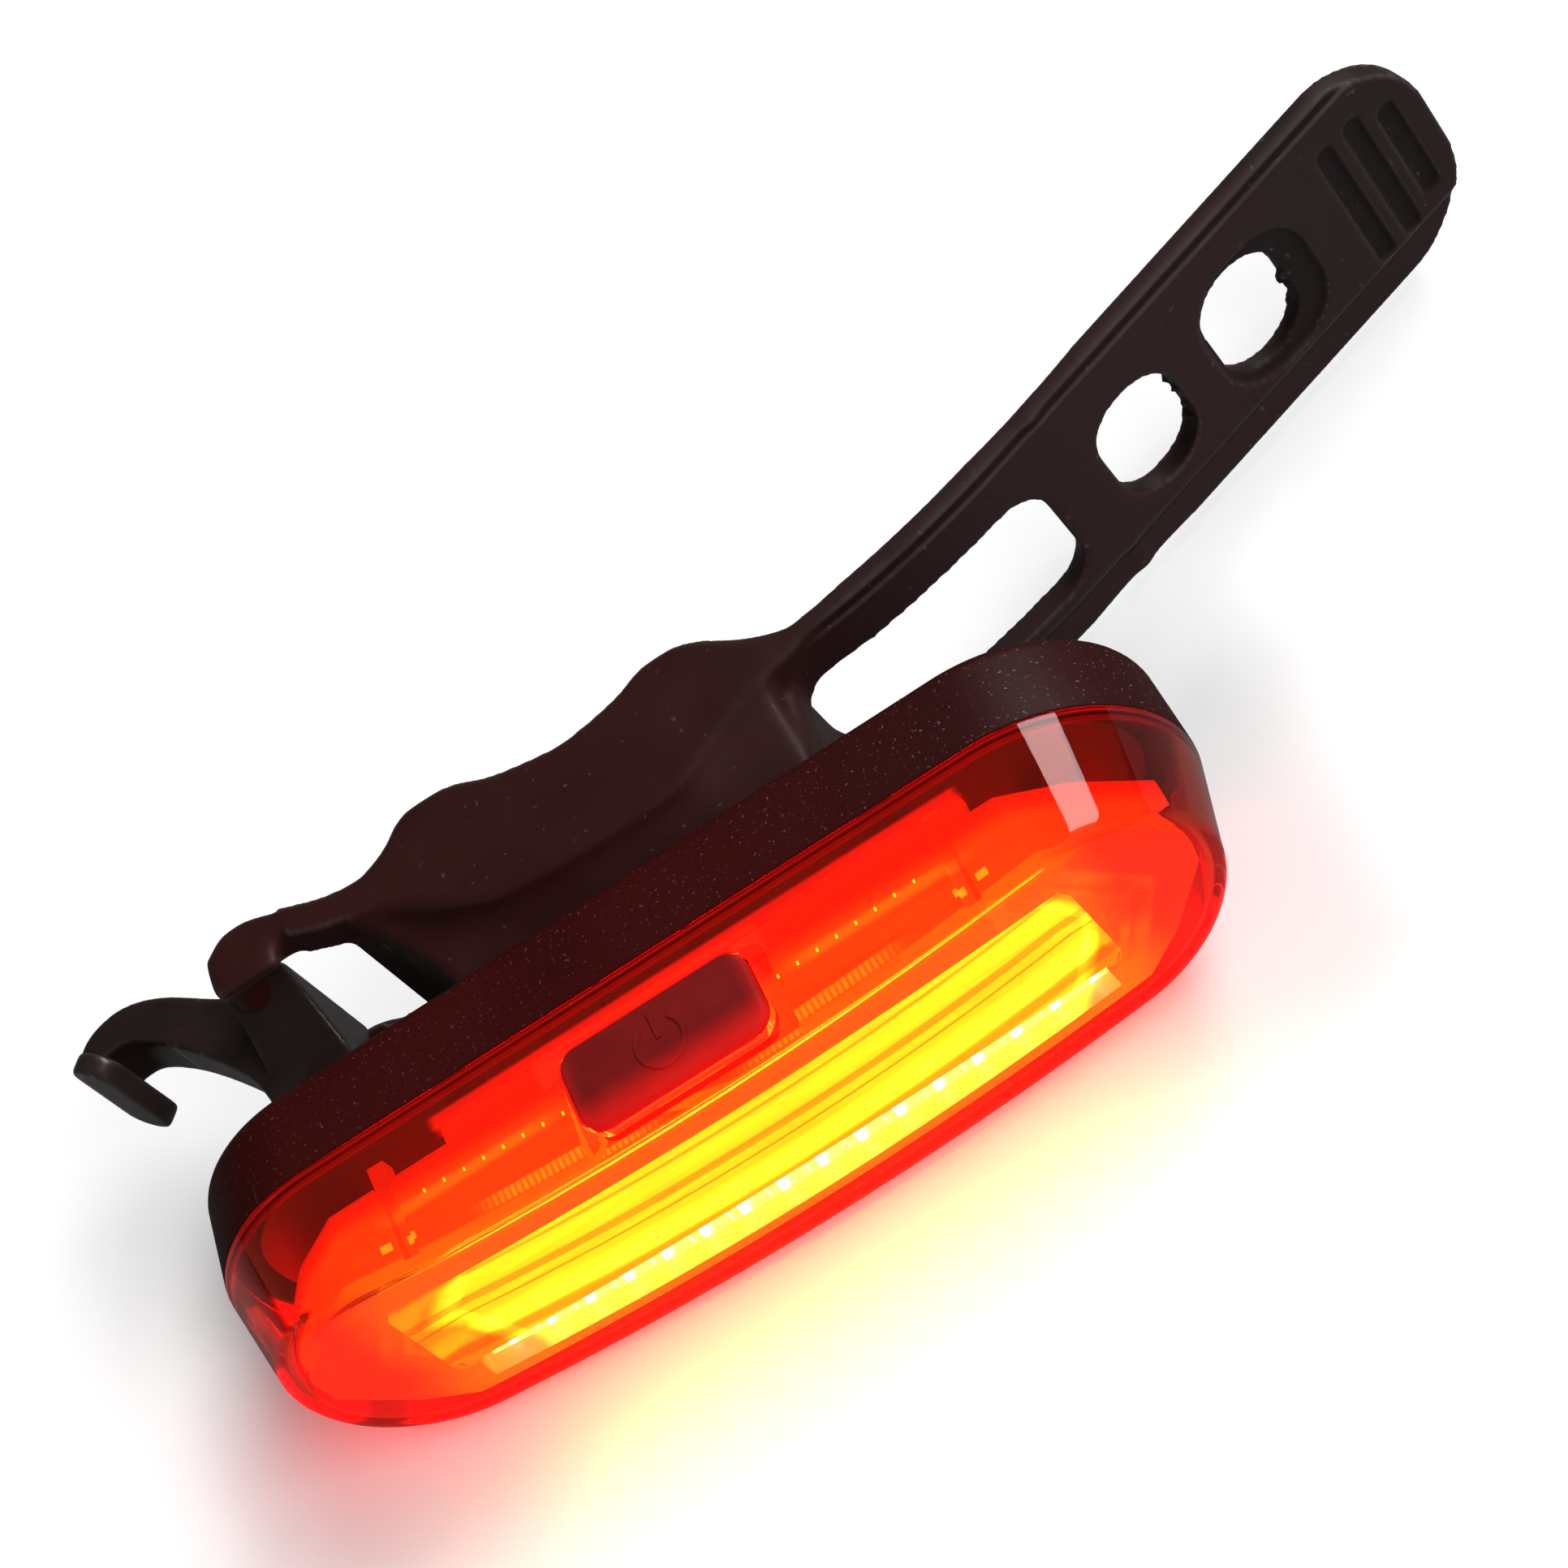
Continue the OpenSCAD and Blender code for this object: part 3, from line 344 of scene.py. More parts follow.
frameLook = {"white": (0.42, 0.4, 0.36, 1), "shade": (0.36, 0.34, 0.3, 1), "streak": (70, 1600, 1600),
             "red": 1.0, "back": 0.006, "face": 0.042, "stripe": 0.09, "teeth": 0.22,
             "toothPitch": 0.45 * mm,
             "lip": 0.12, "lowLip": 0.2, "dot": 0.9, "dotPitch": 3.0 * mm, "dotShift": 0.3, "glint": 0.32,
             "frontAt": (-28.85 * mm, -28.7 * mm), "faceAt": (-25.0 * mm, -23.4 * mm),
             "redAt": (-23.6 * mm, -22.9 * mm),
             "stripeAt": (-25.2 * mm, 0.12 * mm, 0.5 * mm), "stripeRun": (15.5 * mm, 4 * mm, 4 * mm),
             "toothAt": (-28.4 * mm, 0.22 * mm, 0.2 * mm), "toothRun": (9.5 * mm, 3.5 * mm, 4 * mm),
             "dotAt": (-25.5 * mm, 0.1 * mm, 0.08 * mm), "dotRun": (13.5 * mm, 5.5 * mm, 0.3 * mm),
             "endsAt": (24.5 * mm, 30 * mm), "lipAt": (-7 * mm, -3 * mm),
             "slotAt": (21.75 * mm, 0.14 * mm, 0.1 * mm),
             "glintAt": (-27.9 * mm, 0.22 * mm, 0.12 * mm),
             "glintRuns": ((22.7 * mm, 0.35 * mm, 0.12 * mm), (20.9 * mm, 0.3 * mm, 0.12 * mm)),
             "ringShift": 0.8 * mm, "ringPoint": 0.6,
             "rings": ((27.9, 0.2, 0.4, 0.28), (29.4, 0.35, 0.6, 0.1))}


# Outside of the white reflector, with a painted glow in its emission: red at its back, orange to the front,
# with teeth of light, painted reflections of the LED chips, painted clip glints, a painted dark slot and
# painted reflections in rings at its ends
def frameFinish():
    material, f = newFinish("litFrame")
    k = frameLook
    x, y, z = axes(f)
    cloud = noise(f, 160, 3)
    streak = streaks(f, k["streak"], 3, 0.55)
    depth = y - x * x / (2 * bodyPlan["crown"])
    front = 1 - depth.step(*k["frontAt"])
    face = 1 - y.step(*k["faceAt"])
    stripe = y.near(*k["stripeAt"]) * abs(x).near(*k["stripeRun"])
    teeth = f.math("SINE", x * (2 * pi / k["toothPitch"])).step(-0.6, 0.6)
    toothRow = depth.near(*k["toothAt"]) * abs(x).near(*k["toothRun"])
    along = f.math("WRAP", x / k["dotPitch"] + k["dotShift"], 1.0)
    # Painted reflections of the LED chips, in a row
    ledReflections = abs(along - 0.5).near(0.0, 0.035, 0.03) * depth.near(*k["dotAt"]) * abs(x).near(*k["dotRun"])
    ends = abs(x).step(*k["endsAt"])
    warm = k["back"] + face * k["face"] * (0.7 + 0.6 * streak) + stripe * k["stripe"]
    warm = warm + toothRow * k["teeth"] * (0.4 + 0.6 * teeth)
    # Painted shade along a slot beside the clips, and painted glints on both sides of it
    slot = abs(x).near(*k["slotAt"]) * face
    outer, inner = (abs(x).near(*run) for run in k["glintRuns"])
    glint = (outer + inner) * depth.near(*k["glintAt"])
    warm = warm * (1 - 0.4 * ends) * (1 - 0.5 * slot) + ledReflections * k["dot"] + glint * k["glint"]
    lip = k["lip"] + (k["lowLip"] - k["lip"]) * (1 - z.step(*k["lipAt"]))
    warm = warm * (1 - front) + front * lip * (0.75 + 0.5 * streak) * (1 - 0.82 * ends)
    # Painted reflections in rings at the ends of the front
    reach = abs(x - k["ringShift"]) + k["ringPoint"] * abs(z)
    for place, half, soft, share in k["rings"]:
        ring = reach.near(place * mm, half * mm, soft * mm)
        warm = warm + front * ends * share * ring * cloud.step(0.3, 0.7)
    red = k["red"] * (0.55 + 0.45 * (1 - y.step(*k["redAt"]))) + 3 * warm
    return surface(material, f, {
        "Base Color": blendColour(f, cloud, k["white"], k["shade"]),
        "Roughness": 0.3 + 0.1 * cloud,
        "Emission Color": glowColour(f, red, warm, 0.0005 + 0.02 * warm + 0.003 * front * ends),
        "Emission Strength": 1.0})


# Inside of the trough: painted bands of light in its emission that follow the lens's crown, measured on a
# slant at the trough's mouth, with painted dark lines and bright peaks, dimmer above and at its ends
troughLook = {"level": 0.92, "upper": (5.0 * mm, 5.25 * mm), "slant": 1.2724, "mouth": -28.9 * mm,
              "bow": 3.68,
              "point": 0.6, "middle": 0.4 * mm, "shift": 0.8 * mm, "endsAt": (25.6 * mm, 26.6 * mm),
              "tipAt": (25.1 * mm, 0.25 * mm, 0.3 * mm), "streak": (45, 2600, 2600),
              "lines": ((4.0, 0.1, 0.2, 0.45), (1.02, 0.3, 0.25, 0.5), (-0.42, 0.06, 0.14, 0.55),
                        (-4.1, 0.35, 0.4, 0.5)),
              "peaks": ((2.8, 0.3, 1.2, 0.2), (-2.6, 0.3, 1.3, 0.9))}


def troughFinish():
    material, f = newFinish("litTrough")
    k = troughLook
    x, y, z = axes(f)
    streak = streaks(f, k["streak"], 4, 0.6)
    patch = noise(f, 420, 2, 0.5)
    mouth = z + k["slant"] * (y - k["mouth"]) - k["bow"] * x * x
    level = k["level"] * (0.62 + 0.76 * streak)
    for place, half, soft, share in k["lines"]:
        level = level * (1 - share * mouth.near(place * mm, half * mm, soft * mm))
    for place, half, soft, share in k["peaks"]:
        level = level * (1 + share * mouth.near(place * mm, half * mm, soft * mm))
    above = mouth.step(*k["upper"])
    reach = abs(x - k["shift"]) + k["point"] * abs(mouth - k["middle"])
    ends = reach.step(*k["endsAt"])
    tip = reach.near(*k["tipAt"])
    warm = level * (1 + 0.5 * tip) * (1 - 0.85 * above) * (1 - ends * (0.88 - 0.3 * patch))
    return surface(material, f, {
        "Base Color": blendColour(f, streak, frameLook["white"], frameLook["shade"]),
        "Roughness": 0.28 + 0.1 * streak,
        "Emission Color": glowColour(f, 1 + 4 * warm, warm, 0.011 * warm * warm),
        "Emission Strength": 1.0})


# LED chips: a white spot in each yellow chip
ledLook = {"pitch": 3.05 * mm, "height": -6.52 * mm, "spot": 0.62 * mm, "soft": 0.4 * mm}


def ledFinish():
    material, f = newFinish("litPhosphor")
    k = ledLook
    x, z = axes(f)[::2]
    cloud = noise(f, 2500, 2)
    along = (f.math("WRAP", x / k["pitch"], 1.0) - 0.5) * k["pitch"]
    up = z - k["height"]
    spot = 1 - f.math("SQRT", along * along + up * up).step(k["spot"], k["spot"] + k["soft"])
    level = 0.9 + 0.3 * cloud
    red, green, blue = level * (6 + 12 * spot), level * (1 + spot), level * (0.25 + 0.95 * spot)
    return surface(material, f, {
        "Base Color": (0.9, 0.8, 0.4, 1),
        "Roughness": 0.25 + 0.1 * cloud,
        "Emission Color": glowColour(f, red, green, blue),
        "Emission Strength": 1.0})


# LED strip: solder mask with a painted glow of the LEDs' light
def stripFinish():
    material, f = newFinish("litSolderMask")
    cloud = noise(f, 1800, 2)
    level = 0.8 + 0.5 * cloud
    return surface(material, f, {
        "Base Color": (0.85, 0.85, 0.8, 1),
        "Roughness": 0.4 + 0.1 * cloud,
        "Emission Color": glowColour(f, 5 * level, level, 0.16 * level),
        "Emission Strength": 1.0})


# Small inner parts: dark and pale colour, roughness, metal, grain; those named lit have a painted red glow
# behind the lens
innerLooks = {
    "sealRubber": ((0.02, 0.018, 0.018, 1), (0.035, 0.03, 0.03, 1), 0.6, 0.0, 900),
    "litEpoxy": ((0.02, 0.012, 0.012, 1), (0.03, 0.02, 0.02, 1), 0.5, 0.0, 2200),
    "litMask": ((0.012, 0.09, 0.035, 1), (0.02, 0.13, 0.055, 1), 0.35, 0.0, 500),
    "nylonPlunger": ((0.72, 0.72, 0.69, 1), (0.8, 0.8, 0.77, 1), 0.45, 0.0, 700),
    "chipEpoxy": ((0.012, 0.012, 0.013, 1), (0.024, 0.024, 0.026, 1), 0.55, 0.0, 2200),
    "greenMask": ((0.012, 0.09, 0.035, 1), (0.02, 0.13, 0.055, 1), 0.35, 0.0, 500),
    "ceramicTan": ((0.32, 0.23, 0.15, 1), (0.42, 0.31, 0.2, 1), 0.5, 0.0, 1500),
    "tinPlate": ((0.6, 0.6, 0.62, 1), (0.72, 0.72, 0.74, 1), 0.28, 1.0, 1600),
    "zincPlate": ((0.55, 0.56, 0.58, 1), (0.68, 0.69, 0.71, 1), 0.32, 1.0, 1800),
    "brassPin": ((0.62, 0.44, 0.16, 1), (0.74, 0.56, 0.25, 1), 0.3, 1.0, 1800),
    "cellFoil": ((0.58, 0.59, 0.61, 1), (0.7, 0.71, 0.73, 1), 0.36, 0.9, 260),
    "foamTape": ((0.66, 0.66, 0.62, 1), (0.78, 0.78, 0.74, 1), 0.85, 0.0, 1400),
    "redVinyl": ((0.42, 0.015, 0.015, 1), (0.52, 0.025, 0.02, 1), 0.42, 0.0, 800)}


def innerFinish(name):
    dark, pale, rough, metal, scale = innerLooks[name]
    material, f = newFinish(name)
    cloud = noise(f, scale, 3, 0.6)
    level = 0.75 + 0.4 * cloud
    glow = {"Emission Color": glowColour(f, level, 0.012 * level, 0.006 * level), "Emission Strength": 1.0}
    return surface(material, f, {
        "Base Color": blendColour(f, cloud.step(0.3, 0.7), dark, pale),
        "Roughness": rough - 0.06 + 0.14 * cloud,
        "Metallic": metal,
        "Normal": bump(f, cloud, 0.15, 0.00003),
        **(glow if name.startswith("lit") else {})})


rubber = rubberFinish()
sparkPlastic = housingFinish()
print("finishes made")


# A finished piece from a bmesh, smooth below an angle
def addPiece(name, bm, finish, smoothAngle=35):
    bmesh.ops.recalc_face_normals(bm, faces=bm.faces[:])
    mesh = bpy.data.meshes.new(name)
    bm.to_mesh(mesh)
    bm.free()
    for face in mesh.polygons:
        face.use_smooth = True
    mesh.set_sharp_from_angle(angle=radians(smoothAngle))
    mesh.materials.append(finish)
    piece = bpy.data.objects.new(name, mesh)
    bpy.context.scene.collection.objects.link(piece)
    return piece


# A merged copy of CAD nodes in one bmesh
def copyOf(*names):
    bm = bmesh.new()
    for name in names:
        bm.from_mesh(nodes[name].data)
    bmesh.ops.remove_doubles(bm, verts=bm.verts[:], dist=1e-6)
    return bm


def addBlock(bm, centre, size, turn, taper=1.0):
    made = bmesh.ops.create_cube(bm, size=1.0)
    far = [v for v in made["verts"] if v.co.x > 0]
    bmesh.ops.scale(bm, vec=(1, taper, 1), verts=far)
    place = Matrix.Translation(centre) @ turn @ Matrix.Diagonal((*size, 1.0))
    bmesh.ops.transform(bm, matrix=place, verts=made["verts"])


def smooth(bm, verts, rounds):
    for i in range(rounds):
        bmesh.ops.smooth_vert(bm, verts=verts, factor=0.5,
                              use_axis_x=True, use_axis_y=True, use_axis_z=True)


# Merges overlapping solids into one skin of even quads and rounds its edges, more so in the soft places
def moulded(bm, voxel, rounds, soft=()):
    raw = bpy.data.meshes.new("raw")
    bm.to_mesh(raw)
    bm.free()
    holder = bpy.data.objects.new("raw", raw)
    bpy.context.scene.collection.objects.link(holder)
    remesh = holder.modifiers.new("skin", "REMESH")
    remesh.mode = "VOXEL"
    remesh.voxel_size = voxel
    bpy.context.view_layer.update()
    done = holder.evaluated_get(bpy.context.evaluated_depsgraph_get()).to_mesh()
    out = bmesh.new()
    out.from_mesh(done)
    holder.to_mesh_clear()
    bpy.data.objects.remove(holder)
    bpy.data.meshes.remove(raw)
    smooth(out, out.verts[:], rounds)
    for isSoft, more in soft:
        smooth(out, [v for v in out.verts if isSoft(v.co)], more)
    return out


# Long round-ended rings of the housing and the lens: each is the last one extruded, at its radius and depth
bodyPlan = {"run": 51 * mm, "endSteps": 40, "runSteps": 28, "crown": 245 * mm}


def spineAndWay(angle):
    side = 1 if cos(angle) > 0 else -1
    return side * bodyPlan["run"] / 2, Vector((cos(angle), 0, sin(angle)))


def firstRing(bm):
    steps = 2 * bodyPlan["endSteps"]
    turn = Matrix.Rotation(pi / steps, 4, "Z")
    for v in bmesh.ops.create_circle(bm, segments=steps, radius=1.0, matrix=turn)["verts"]:
        angle = Vector((1, 0)).angle_signed(Vector((v.co.x, v.co.y)))
        spine, way = spineAndWay(-angle)
        v.co = Vector((spine, 0, 0)) + way
    flat = [e for e in bm.edges if abs(e.verts[0].co.x - e.verts[1].co.x) > bodyPlan["run"] / 2]
    bmesh.ops.subdivide_edges(bm, edges=flat, cuts=bodyPlan["runSteps"])
    return bm.edges[:]


def setRing(edges, radius, depth, crown):
    for v in {v for e in edges for v in e.verts}:
        half = bodyPlan["run"] / 2
        spine = max(-half, min(half, v.co.x))
        way = Vector((v.co.x - spine, 0, v.co.z)).normalized()
        place = Vector((spine, 0, 0)) + way * radius
        bend = crown * place.x * place.x / (2 * bodyPlan["crown"])
        v.co = Vector((place.x, depth + bend, place.z))


def nextRing(bm, edges, radius, depth, crown=0.0):
    made = bmesh.ops.extrude_edge_only(bm, edges=edges)["geom"]
    ring = [g for g in made if isinstance(g, bmesh.types.BMEdge)]
    setRing(ring, radius, depth, crown)
    return ring


# Closes a ring by strips between its upper and its lower half
def capRing(bm, edges):
    halves = [e for e in edges if e.verts[0].co.z * e.verts[1].co.z > 0]
    bmesh.ops.bridge_loops(bm, edges=halves)


# Radius and depth along an arc of a section
def roundPoints(radius, depth, r, a, b, steps):
    angles = [radians(a + (b - a) * i / steps) for i in range(steps + 1)]
    return [(radius + r * cos(angle), depth + r * sin(angle)) for angle in angles]


# Cuts a piece by another, which is then removed
def cutBy(piece, cutter):
    cut = piece.modifiers.new("cut", "BOOLEAN")
    cut.object = cutter
    cut.operation = "DIFFERENCE"
    cut.solver = "EXACT"
    bpy.context.view_layer.update()
    done = bpy.data.meshes.new_from_object(piece.evaluated_get(bpy.context.evaluated_depsgraph_get()))
    piece.modifiers.clear()
    old = piece.data
    piece.data = done
    bpy.data.meshes.remove(old)
    bpy.data.objects.remove(cutter)


# A block with rounded upright edges, placed by a matrix
def roundedBlock(length, width, height, corner, steps, place, topRound=0.0):
    bm = bmesh.new()
    bmesh.ops.create_cube(bm, size=1.0, matrix=Matrix.Diagonal((length, width, height, 1.0)))
    upright = [e for e in bm.edges if abs(e.verts[0].co.z - e.verts[1].co.z) > height / 2]
    bmesh.ops.bevel(bm, geom=upright, offset=corner, affect="EDGES", segments=steps, profile=0.5,
                    material=-1)
    if topRound > 0:
        top = [e for e in bm.edges if min(e.verts[0].co.z, e.verts[1].co.z) > height / 2 - 1e-7]
        bmesh.ops.bevel(bm, geom=top, offset=topRound, affect="EDGES", segments=5, profile=0.5,
                        material=-1)
    bmesh.ops.transform(bm, matrix=place, verts=bm.verts[:])
    return bm


# Rear housing
housing = {"joint": -19.7 * mm, "depth": 7.1 * mm, "rim": 11.5 * mm, "back": 11.05 * mm, "edge": 1.4 * mm,
           "wall": 1.6 * mm, "rebate": (10.7 * mm, 1.1 * mm), "lip": 0.22 * mm,
           "port": (8.2 * mm, 3 * mm, 6 * mm, 1.2 * mm), "portAt": (20 * mm, -16.6 * mm, -11.5 * mm),
           "recess": (13.4 * mm, 3.6 * mm, 2 * mm, 0.5 * mm),
           "recessAt": (20 * mm, -16.6 * mm, -11.65 * mm)}


def makeHousing():
    h = housing
    joint, rim = h["joint"], h["rim"]
    bm = bmesh.new()
    ring = firstRing(bm)
    edgeCentre = (h["back"] - h["edge"], joint + h["depth"] - h["edge"])
    setRing(ring, h["back"] - h["edge"], joint + h["depth"], 0)
    capRing(bm, ring)
    for radius, depth in roundPoints(*edgeCentre, h["edge"], 90, 0, 8)[1:]:
        ring = nextRing(bm, ring, radius, depth)
    lip = h["lip"]
    for radius, depth in roundPoints(rim - lip, joint + lip, lip, 0, -90, 4):
        ring = nextRing(bm, ring, radius, depth)
    step, floor = h["rebate"][0], joint + h["rebate"][1]
    inner = [(step, joint), (step, floor), (rim - h["wall"], floor),
             (h["back"] - h["wall"], joint + h["depth"] - h["wall"])]
    for radius, depth in inner:
        ring = nextRing(bm, ring, radius, depth)
    capRing(bm, ring)
    piece = addPiece("housing_shell", bm, sparkPlastic, 40)
    for name in ("port", "recess"):
        hole = roundedBlock(*h[name], 6, Matrix.Translation(h[name + "At"]))
        cutBy(piece, addPiece(name + "Cut", hole, sparkPlastic))
    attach(piece, "light_body")
    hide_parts("rear_housing")


makeHousing()
print("housing made")


# Lens: a shell with a crowned front and an opening for the button
lens = {"joint": -19.7 * mm, "front": -30.9 * mm, "rim": 11.5 * mm, "frontR": 10.15 * mm, "edge": 1.8 * mm,
        "wall": 1.4 * mm, "innerEdge": 0.6 * mm, "tongue": (0.55 * mm, 0.8 * mm), "lip": 0.18 * mm,
        "holeDeep": 5 * mm, "holeDrop": -0.5 * mm, "smooth": 30}
buttonPlace = Matrix.Translation((0, -25.9 * mm, 10.609 * mm)) @ Matrix.Rotation(radians(8.172), 4, "X")
button = {"length": 14 * mm, "width": 6 * mm, "corner": 1.5 * mm, "rise": 0.45 * mm, "gap": 0.2 * mm,
          "deep": 2.4 * mm, "topRound": 0.32 * mm, "iconR": 1.7 * mm, "iconW": 0.34 * mm,
          "iconRise": 0.12 * mm,
          "arcFrom": -38, "arcTurn": -284, "arcSteps": 40, "barAt": 1.15 * mm, "barLength": 1.9 * mm}


def makeLens(finish):
    k = lens
    bm = bmesh.new()
    ring = firstRing(bm)
    setRing(ring, k["frontR"] - k["edge"], k["front"], 1)
    capRing(bm, ring)
    frontEdge = roundPoints(k["frontR"] - k["edge"], k["front"] + k["edge"], k["edge"], -90, 0, 10)
    for radius, depth in frontEdge[1:]:
        ring = nextRing(bm, ring, radius, depth, 1)
    for radius, depth in roundPoints(k["rim"] - k["lip"], k["joint"] - k["lip"], k["lip"], 0, 90, 4):
        ring = nextRing(bm, ring, radius, depth)
    inside = k["rim"] - k["wall"]
    tongueR, tongueEnd = inside + k["tongue"][0], k["joint"] + k["tongue"][1]
    tongue = [(tongueR, k["joint"]), (tongueR, tongueEnd), (inside, tongueEnd), (inside, k["joint"])]
    for radius, depth in tongue:
        ring = nextRing(bm, ring, radius, depth)
    edge = k["innerEdge"]
    innerR, innerFront = k["frontR"] - k["wall"], k["front"] + k["wall"]
    for radius, depth in roundPoints(innerR - edge, innerFront + edge, edge, 0, -90, 5):
        ring = nextRing(bm, ring, radius, depth, 1)
    capRing(bm, ring)
    piece = addPiece("lens_shell", bm, finish, k["smooth"])
    gap = button["gap"]
    length, width = button["length"] + 2 * gap, button["width"] + 2 * gap
    hole = roundedBlock(length, width, k["holeDeep"], button["corner"] + gap, 8,
                        buttonPlace @ Matrix.Translation((0, 0, k["holeDrop"])))
    cutBy(piece, addPiece("buttonCut", hole, finish))
    piece.data.set_sharp_from_angle(angle=radians(k["smooth"]))
    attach(piece, "light_body")
    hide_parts("lens")


makeLens(lensFinish())
print("lens made")


# Button: a soft pad with a raised power sign
def makeButton(finish):
    b = button
    bm = roundedBlock(b["length"], b["width"], b["deep"] + b["rise"], b["corner"], 8,
                      Matrix.Translation((0, 0, (b["rise"] - b["deep"]) / 2)), b["topRound"])
    top = b["rise"] + b["iconRise"] / 2
    profile = bmesh.ops.create_grid(bm, x_segments=1, y_segments=1, size=0.5)["verts"]
    upright = Matrix.Rotation(radians(90), 4, "Y") @ Matrix.Diagonal((b["iconRise"], b["iconW"], 1, 1))
    stand = Matrix.Translation((0, b["iconR"], top)) @ upright
    bmesh.ops.transform(bm, matrix=Matrix.Rotation(radians(b["arcFrom"]), 4, "Z") @ stand, verts=profile)
    faces = list({f for v in profile for f in v.link_faces})
    edges = list({e for v in profile for e in v.link_edges})
    bmesh.ops.spin(bm, geom=profile + faces + edges, cent=(0, 0, 0), axis=(0, 0, 1), dvec=(0, 0, 0),
                   angle=radians(b["arcTurn"]), steps=b["arcSteps"], use_merge=False, use_duplicate=False)
    bar = (b["iconW"], b["barLength"], b["iconRise"])
    addBlock(bm, Vector((0, b["barAt"], top)), bar, Matrix.Identity(4))
    bmesh.ops.transform(bm, matrix=buttonPlace, verts=bm.verts[:])
    piece = addPiece("button_pad", bm, finish, 40)
    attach(piece, "button")
    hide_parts("power_button")


makeButton(buttonFinish())
print("button made")


# Rubber strap: one skin over the saddle, the root and the end, parted in the slot, where both ride the root
strap = {"half": 10.0 * mm, "thick": 1.94 * mm, "slotHalf": 5.5 * mm, "gap": 0.05 * mm, "voxel": 0.22 * mm,
         "rounds": 5,
         "rootHinge": (18.3 * mm, -3.1 * mm), "rootTurn": 7.5, "rootBridge": 4.6 * mm,
         "endHinge": (38.701 * mm, 1.926 * mm), "endTurn": 19.5, "endBridge": 3.9 * mm,
         "partAt": 27.5 * mm, "partTurn": 13, "lowMargin": 3.55 * mm, "highMargin": 1.05 * mm,
         "face": 0.35 * mm,
         "hingeZones": (2.2 * mm, 3.0 * mm, 3.8 * mm, 4.6 * mm), "hingeRounds": 5, "hingeShift": 0.4 * mm,
         "neckAt": (16.9 * mm, -3.08 * mm), "neck": (3.4 * mm, 4.0 * mm), "neckTaper": 0.48,
         "slotStart": (16.8 * mm, -3.08 * mm, 5.25 * mm), "slotFill": (1.2 * mm, 3.0 * mm, 0.7 * mm),
         "slotTaper": 0.9}
holes = {"places": (9 * mm, 19.6 * mm), "along": (0.6 * mm, 4.2 * mm), "half": 4.7 * mm,
         "through": (-0.3 * mm, 0.9 * mm),
         "flash": 0.5 * mm, "grain": 900}
lug = {"ends": (-28.0 * mm, -22.7 * mm), "heights": (-2.5 * mm, 1.2 * mm),
       "sides": (10.0 * mm, 9.0 * mm, 5.9 * mm),
       "softFrom": -21.5 * mm, "softSide": 5 * mm, "rounds": 36}
flank = {"crease": ((-17.5, -2.7), (-15.5, -3.3), (-13.9, -4.3), (-10.9, -6.4), (-7.2, -8.2), (-3.3, -8.8),
                    (3.3, -9.1), (7.85, -8.6), (11.7, -6.4), (14.5, -5.2), (18.3, -4.1)),
         "start": (-17.4 * mm, -11.9 * mm), "bow": 3.0 * mm, "end": 15.6 * mm, "back": -12.55 * mm,
         "heights": (9.95 * mm, 7.5 * mm), "fall": 0.62, "inner": 5 * mm, "rounds": 10,
         "softX": (-17 * mm, 15.5 * mm), "softY": (-11.6 * mm, -3.2 * mm), "softZ": 6.4 * mm}


# Both slopes of the saddle, below the crease
def isFlank(p):
    (left, right), (back, crease) = flank["softX"], flank["softY"]
    return left < p.x < right and back < p.y < crease and abs(p.z) > flank["softZ"]


# Round the two flex hinges, where the bridged gaps are evened out
def hingeZone(reach):
    root, end = strap["rootHinge"], strap["endHinge"]
    return lambda p: min(abs(p.x - root[0] + strap["hingeShift"]), abs(p.x - end[0])) < reach


def isLug(p):
    return p.x < lug["softFrom"] and abs(p.z) > lug["softSide"]


def creaseAt(x):
    points = flank["crease"]
    for (x0, y0), (x1, y1) in zip(points, points[1:]):
        if x <= x1 * mm:
            return (y0 + (y1 - y0) * (x / mm - x0) / (x1 - x0)) * mm
    return points[-1][1] * mm


# Flank of the saddle: a slope from the crease down to the housing
def addFlank(bm, side):
    k = flank
    made = bmesh.ops.create_grid(bm, x_segments=32, y_segments=10, size=0.5)["verts"]
    top, foot = k["heights"]
    start, end = k["start"]
    for v in made:
        across, share = v.co.x + 0.5, 0.5 - v.co.y
        left = start + share * (end - start) + k["bow"] * share * (1 - share)
        crease = creaseAt(start + across * (k["end"] - start))
        height = top + (foot - top) * share ** k["fall"]
        along = left + across * (k["end"] - left)
        v.co = Vector((along, crease + share * (k["back"] - crease), side * height))
    faces = list({f for v in made for f in v.link_faces})
    lower = bmesh.ops.extrude_face_region(bm, geom=faces, use_keep_orig=True)["geom"]
    for v in lower:
        if isinstance(v, bmesh.types.BMVert):
            v.co.z = side * k["inner"]
    shell = {f for v in made for f in v.link_faces}
    shell |= {g for g in lower if isinstance(g, bmesh.types.BMFace)}
    bmesh.ops.recalc_face_normals(bm, faces=list(shell))


# Cheek of the loop: a thick wedge under the arm's end, which hides the hook's notch
def addLug(bm, side):
    ends, heights, sides = lug["ends"], lug["heights"], lug["sides"]
    made = bmesh.ops.create_cube(bm, size=2.0)["verts"]
    for v in made:
        low = v.co.y < 0
        depth = sides[0] if v.co.z > 0 else (sides[1] if low else sides[2])
        v.co = Vector((ends[0] if v.co.x < 0 else ends[1], heights[0] if low else heights[1], side * depth))
    bmesh.ops.recalc_face_normals(bm, faces=list({f for v in made for f in v.link_faces}))


